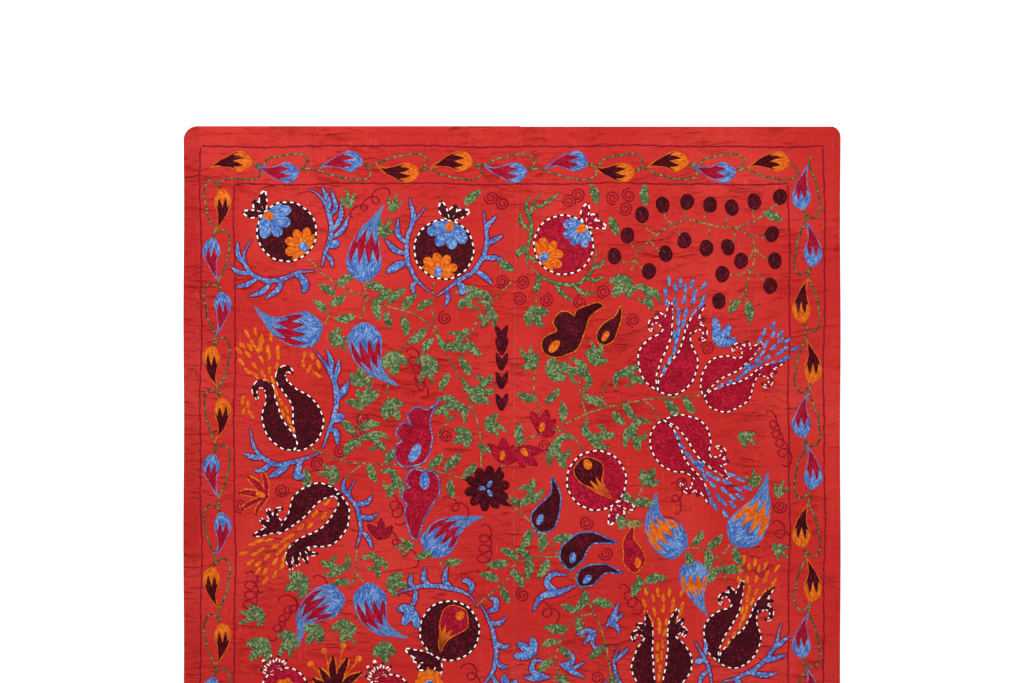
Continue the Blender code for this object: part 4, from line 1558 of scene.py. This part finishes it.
def draw_scroll(hoop, place):
    """A spiral about a place, or loops between two places."""
    if len(place) == 2:
        x, down = place
        turns = np.linspace(0, SPIRAL_TURNS, 26)
        start = 140 * math.sin(x + down)
        handed = 1 if int(x) % 2 else -1
        line = polar(start + handed * 360 * turns, 0.22 + 0.62 * turns) + (x, -down)
    else:
        x0, down0, x1, down1, loops = place
        course = np.array([x1 - x0, down0 - down1])
        length = np.hypot(*course)
        t = np.linspace(0, 1, 12 * loops + 1)
        angle = t * loops * math.tau
        along = t * length - LOOP_REACH[0] * np.sin(angle)
        across = LOOP_REACH[1] * (1 - np.cos(angle)) * (1 + 0.25 * np.sin(3 * t + x0))
        heading = math.degrees(math.atan2(course[1], course[0]))
        line = np.stack([along, across], axis=1) @ turned(heading) + (x0, -down0)
    hoop.row("wine", line, SCROLL_WIDTH, unit=FINE_STITCH)


work_patches("scrolls", (*SPIRALS, *LOOPS), "crimson_thread", draw_scroll)


# ---------------------------------------------------------------------------------------------
# Drops and commas: single swollen petals in two threads with an edge row, and a small drop at
# the round end.
# ---------------------------------------------------------------------------------------------
Comma = namedtuple("Comma", "thread edge half spine drop")
COMMAS = (
    Comma("maroon", "blue", 2.9, ((5.4, 86.6), (7.2, 83.0), (9.2, 79.0), (8.6, 74.8)), (6.0, 83.8)),
    Comma("maroon", "blue", 2.7, ((12.2, 94.6), (12.9, 91.0), (16.4, 87.9), (22.4, 88.8)), (12.9, 92.0)),
    Comma("maroon", "blue", 2.1, ((14.2, 98.0), (16.2, 95.9), (19.6, 94.4), (23.6, 95.2)), (16.0, 96.6)),
    Comma("crimson", "orange", 2.5, ((26.3, 95.2), (25.9, 91.4), (24.9, 88.0), (26.4, 84.4)), (26.8, 93.0)),
    Comma("maroon", "orange", 2.1, ((19.0, 46.8), (20.4, 43.8), (22.4, 41.2), (23.4, 38.0)), (19.9, 44.8)),
)
COMMA_SHAPE = (0.7, 0.98, 0.92, 0.7, 0.42, 0.22, 0.03)
COMMA_DROP = (1.35, 0.75)
for number, comma in enumerate(COMMAS):
    for end, hoop in whole_design(comma.spine[0][1]):
        half = np.multiply(COMMA_SHAPE, comma.half)
        row_edge(hoop, comma.edge, hoop.blade(comma.thread, at(comma.spine), half, blunt=(0.3, 0)))
        (x0, down0), (x1, down1) = comma.spine[:2]
        lean = math.degrees(math.atan2(down0 - down1, x1 - x0))
        hoop.rings(comma.edge, COMMA_DROP, *at([comma.drop]), lean, EDGE_LIFT)
        hoop.finish(f"comma_{number + 1}_{end}", f"{comma.thread}_thread")


# ---------------------------------------------------------------------------------------------
# Winged leaves: one scalloped side and one smooth, edged with a row of another thread.
# ---------------------------------------------------------------------------------------------
def bulges(notches, depth):
    """An edge of round lobes, one between each two notches, that swell to the left."""
    edge = []
    for a, b in zip(notches, notches[1:]):
        a, b = np.array(a), np.array(b)
        chord = b - a
        out = np.array([-chord[1], chord[0]])
        for t in (0, 0.15, 0.32, 0.5, 0.68, 0.85):
            along = t - 0.11 * math.sin(math.tau * t)
            edge.append(a + chord * along + out * depth * math.sin(math.pi * t) ** 0.7)
    return [*edge, np.array(notches[-1])]


# The notches of the scalloped edge from the foot on, its tip, the smooth edge, and an oval.
Wing = namedtuple("Wing", "thread edge notches depth plain oval")
WINGS = (
    Wing(
        "crimson", "blue", ((-21.6, 72.6), (-23.4, 67.1), (-21.1, 63.8), (-18.4, 60.5), (-15.4, 57.9)),
        (0.42, 0.60, 0.56, -0.12),
        ((-21.6, 72.6), (-18.6, 71.4), (-17.0, 67.3), (-17.4, 62.3), (-15.4, 57.9)),
        (-20.7, 69.7, 65, 2.3, 1.15),
    ),
    Wing(
        "crimson", "blue", ((-19.8, 73.3), (-21.5, 77.1), (-22.1, 80.6), (-20.2, 88.2)),
        (-0.42, -0.46, -0.16), ((-19.8, 73.3), (-16.4, 74.0), (-15.4, 77.8), (-18.4, 83.0), (-20.2, 88.2)),
        (-18.6, 75.6, 92, 2.0, 1.1),
    ),
    Wing(
        "maroon", "orange", ((10.8, 49.1), (9.6, 43.7), (13.4, 40.6), (19.6, 38.4)), (0.72, 0.56, 0.22),
        ((10.8, 49.1), (13.6, 47.8), (15.3, 44.6), (16.6, 40.8), (19.6, 38.4)), (9.0, 47.0, 50, 1.8, 0.9),
    ),
)
for number, wing in enumerate(WINGS):
    for end, hoop in whole_design():
        lobed = []
        for a, b, depth in zip(wing.notches, wing.notches[1:], wing.depth):
            lobed += bulges(at((a, b)), depth)[:-1]
        lobed += at(wing.notches[-1:])
        row_edge(hoop, wing.edge, hoop.patch(wing.thread, lobed, at(wing.plain)))
        x, down, lean, *reach = wing.oval
        hoop.rings(wing.edge, tuple(reach), (x, -down), lean, EDGE_LIFT)
        hoop.finish(f"wing_{number + 1}_{end}", f"{wing.thread}_thread")


# ---------------------------------------------------------------------------------------------
# Flowers: scalloped discs with an eye in a second thread, and a column of small hearts.
# ---------------------------------------------------------------------------------------------
Flower = namedtuple("Flower", "x down turn count reach depth thread eye")
FLOWERS = (
    Flower(-5.3, 77.2, 10, 10, 4.9, 0.34, "maroon", "blue"),
    Flower(-17.6, 118.6, 0, 8, 3.2, 0.30, "orange", "blue"),
)
POINTED_PETALS = ((148, 6.0), (48, 5.8), (-46, 6.8))
for number, flower in enumerate(FLOWERS):
    for end, hoop in both_ends(flower.x, flower.down, flower.turn):
        outline = scallops(flower.count, flower.reach, flower.depth)
        hoop.rings(flower.thread, outline, lift=EDGE_LIFT)
        if flower.thread == "maroon":
            for lean, reach in POINTED_PETALS:
                spine = [(0, 0), polar(lean - 5, reach / 2), polar(lean, reach)]
                hoop.blade("maroon", spine, np.multiply(THORN, 1.1))
            for lean in (50, 170, 290):
                hoop.rings(flower.eye, (1.0, 0.5), polar(lean, 1.1), lean, 2 * EDGE_LIFT)
        else:
            eye = (0.3 * flower.reach, 0.22 * flower.reach)
            hoop.rings(flower.eye, eye, lift=2 * EDGE_LIFT)
        hoop.finish(f"flower_{number + 1}_{end}", f"{flower.thread}_thread")

# Half-open flowers: petals fan out from a foot, each (angle from the fan's middle, length, half width).
Fan = namedtuple("Fan", "x down turn thread edge eye petals")
OPEN = ((-62, 3.2, 1.0), (-30, 4.4, 1.0), (4, 5.2, 1.1), (42, 4.8, 1.0))
FANS = (
    Fan(5.9, 65.4, 70, "crimson", None, "orange", OPEN),
    Fan(1.8, 68.4, -52, "crimson", None, "orange", OPEN),
    Fan(-2.2, 71.6, 84, "crimson", None, "orange", OPEN),
    Fan(
        -52.2, 79.0, 162, "crimson", "orange", "orange",
        ((-62, 5.6, 0.55), (-28, 6.0, 0.7), (10, 6.2, 0.7), (44, 6.0, 0.55), (76, 4.6, 0.5)),
    ),
    Fan(43.3, 46.4, 52, "blue", None, None, ((-40, 4.8, 1.0), (0, 5.4, 1.0), (40, 5.8, 1.0))),
    Fan(-20.6, 103.2, -132, "blue", "wine", None, ((-52, 4.0, 1.0), (0, 4.2, 1.05), (50, 4.0, 1.0))),
    Fan(4.6, 113.0, 140, "blue", "wine", None, ((-44, 4.2, 0.9), (0, 4.6, 0.9), (42, 4.4, 0.9))),
    Fan(-28.3, 88.0, 86, "wine", None, None, ((-40, 4.0, 0.9), (0, 4.4, 0.8), (42, 4.0, 0.9))),
    Fan(-1.2, 121.0, 100, "blue", "wine", None, ((-44, 3.8, 0.9), (0, 4.2, 0.9), (44, 3.8, 0.9))),
)
for number, fan in enumerate(FANS):
    for end, hoop in both_ends(fan.x, fan.down, fan.turn):
        parts = [
            (half, (0, 0), polar(lean - 6, reach * 0.55), polar(lean, reach))
            for lean, reach, half in fan.petals
        ]
        strokes(hoop, fan.thread, fan.edge, parts, STROKE_EDGE, DROP)
        if fan.eye:
            hoop.rings(fan.eye, (1.25, 0.7), (1.4, 0.0), 0, 2.4 * EDGE_LIFT)
        slot = "crimson_thread" if fan.thread == "wine" else f"{fan.thread}_thread"
        hoop.finish(f"fan_flower_{number + 1}_{end}", slot)

# Hearts down the middle, each of two strokes from one foot.
HEARTS_X = -2.2
HEARTS_DOWN = (44.3, 46.9, 50.2, 54.2, 58.8)
HEART_HALF_WIDTHS = (0.25, 0.6, 0.72, 0.55, 0.12)
for number, down in enumerate(HEARTS_DOWN):
    for end, hoop in both_ends(HEARTS_X, down):
        for side in (1, -1):
            stroke = [(0, -2.0), (side * 0.5, 0), (side * 1.3, 2.0)]
            hoop.blade("maroon", stroke, HEART_HALF_WIDTHS)
        hoop.finish(f"heart_{number + 1}_{end}", "maroon_thread")


# ---------------------------------------------------------------------------------------------
# Lilies: five pointed maroon petals edged in orange fan up between long knobbed stamens, with a
# crimson fruit with a toothed top on either side.
# ---------------------------------------------------------------------------------------------
SPIKE = (0.5, 0.45, 0.36, 0.22, 0.05)
LILY_PETALS = ((152, 5.8, 0.8), (126, 6.2, 0.8), (97, 7.4, 0.85), (72, 7.4, 0.85), (37, 6.6, 0.8))
STAMENS = ((134, 7.6), (107, 8.6), (82, 9.4), (56, 8.0))
STAMEN_WIDTH = 0.45
KNOB_RADIUS = 0.78
LILY_EDGE = 0.34
TOOTHED_CROWN = ((-58, 3.6), (-30, 4.0), (-2, 4.4), (26, 4.2), (54, 3.8))
TOOTH_EDGE = 0.22
CROWNED_FRUITS = ((-48.4, 120.4, 5.0), (-26.2, 121.6, 4.8))
hoop = Hoop(-37.3, 120.4)
for lean, reach in STAMENS:
    hoop.row("orange", [(0, 0), polar(lean + 3, reach * 0.5), polar(lean, reach)], STAMEN_WIDTH)
    hoop.rings("orange", KNOB_RADIUS, polar(lean, reach + 0.4))
lily = [
    (half, (0, 0), polar(lean + 5, reach * 0.55), polar(lean, reach))
    for lean, reach, half in LILY_PETALS
]
strokes(hoop, "maroon", "orange", lily, LILY_EDGE, DROP, SLIGHT_LIFT)
hoop.finish("lily", "maroon_thread")
for number, (x, down, radius) in enumerate(CROWNED_FRUITS):
    hoop = Hoop(x, down)
    hoop.spot(*polar(112, radius - 0.8), 112)
    petals(hoop, "crimson", TOOTHED_CROWN, TOOTH_EDGE, SPIKE)
    hoop.spot()
    dashed_edge(hoop, hoop.rings("crimson", radius))
    hoop.rings("orange", scallops(7, 2.6, 0.25), (0, 0.4), 20, EDGE_LIFT)
    hoop.rings("blue", (0.9, 0.7), (0, 0.4), 0, 2 * EDGE_LIFT)
    hoop.finish(f"crowned_fruit_{number + 1}", "crimson_thread")


# ---------------------------------------------------------------------------------------------
# Blue hooks: short curled scrolls with thorns that fill the gaps among the lower stems.
# ---------------------------------------------------------------------------------------------
HOOKS = (
    (
        (0.75, (4.4, 103.4), (6.2, 100.4), (10.4, 99.2), (13.8, 97.8)),
        (0.8, (9.6, 99.4), (7.5, 97.6), (8.8, 95.4), (12.0, 95.8)),
    ),
    (
        (0.6, (19.8, 106.9), (21.4, 104.8), (22.8, 101.5)),
        (0.65, (20.6, 105.8), (22.4, 104.9), (23.8, 103.6)),
        (0.7, (20.8, 105.9), (22.4, 106.7), (22.7, 108.4)),
    ),
    (
        (0.55, (18.2, 107.8), (16.2, 107.5), (13.4, 108.4)),
        (0.65, (17.4, 108.0), (16.2, 109.2), (15.0, 110.6)),
        (0.5, (17.8, 108.0), (17.0, 109.8), (17.8, 111.2), (19.0, 110.2)),
    ),
    (
        (0.7, (8.4, 117.4), (5.2, 117.6), (2.2, 117.6)),
        (0.7, (6.8, 117.4), (4.4, 116.2), (4.8, 113.9), (7.4, 114.0)),
    ),
    (
        (0.6, (10.0, 114.4), (12.4, 116.0), (15.6, 117.6)),
        (0.5, (12.2, 115.6), (14.2, 115.0), (15.8, 114.0)),
        (0.6, (10.6, 115.0), (12.8, 114.2), (12.6, 112.4), (10.8, 112.6)),
    ),
)
for number, hook in enumerate(HOOKS):
    hoop = Hoop(0, 0)
    parts = [(half, *at(points)) for half, *points in hook]
    strokes(hoop, "blue", "wine", parts[:1], BRACKET_EDGE, SPINE)
    strokes(hoop, "blue", "wine", parts[1:], BRACKET_EDGE, THORN)
    hoop.finish(f"hook_{number + 1}", "blue_thread")
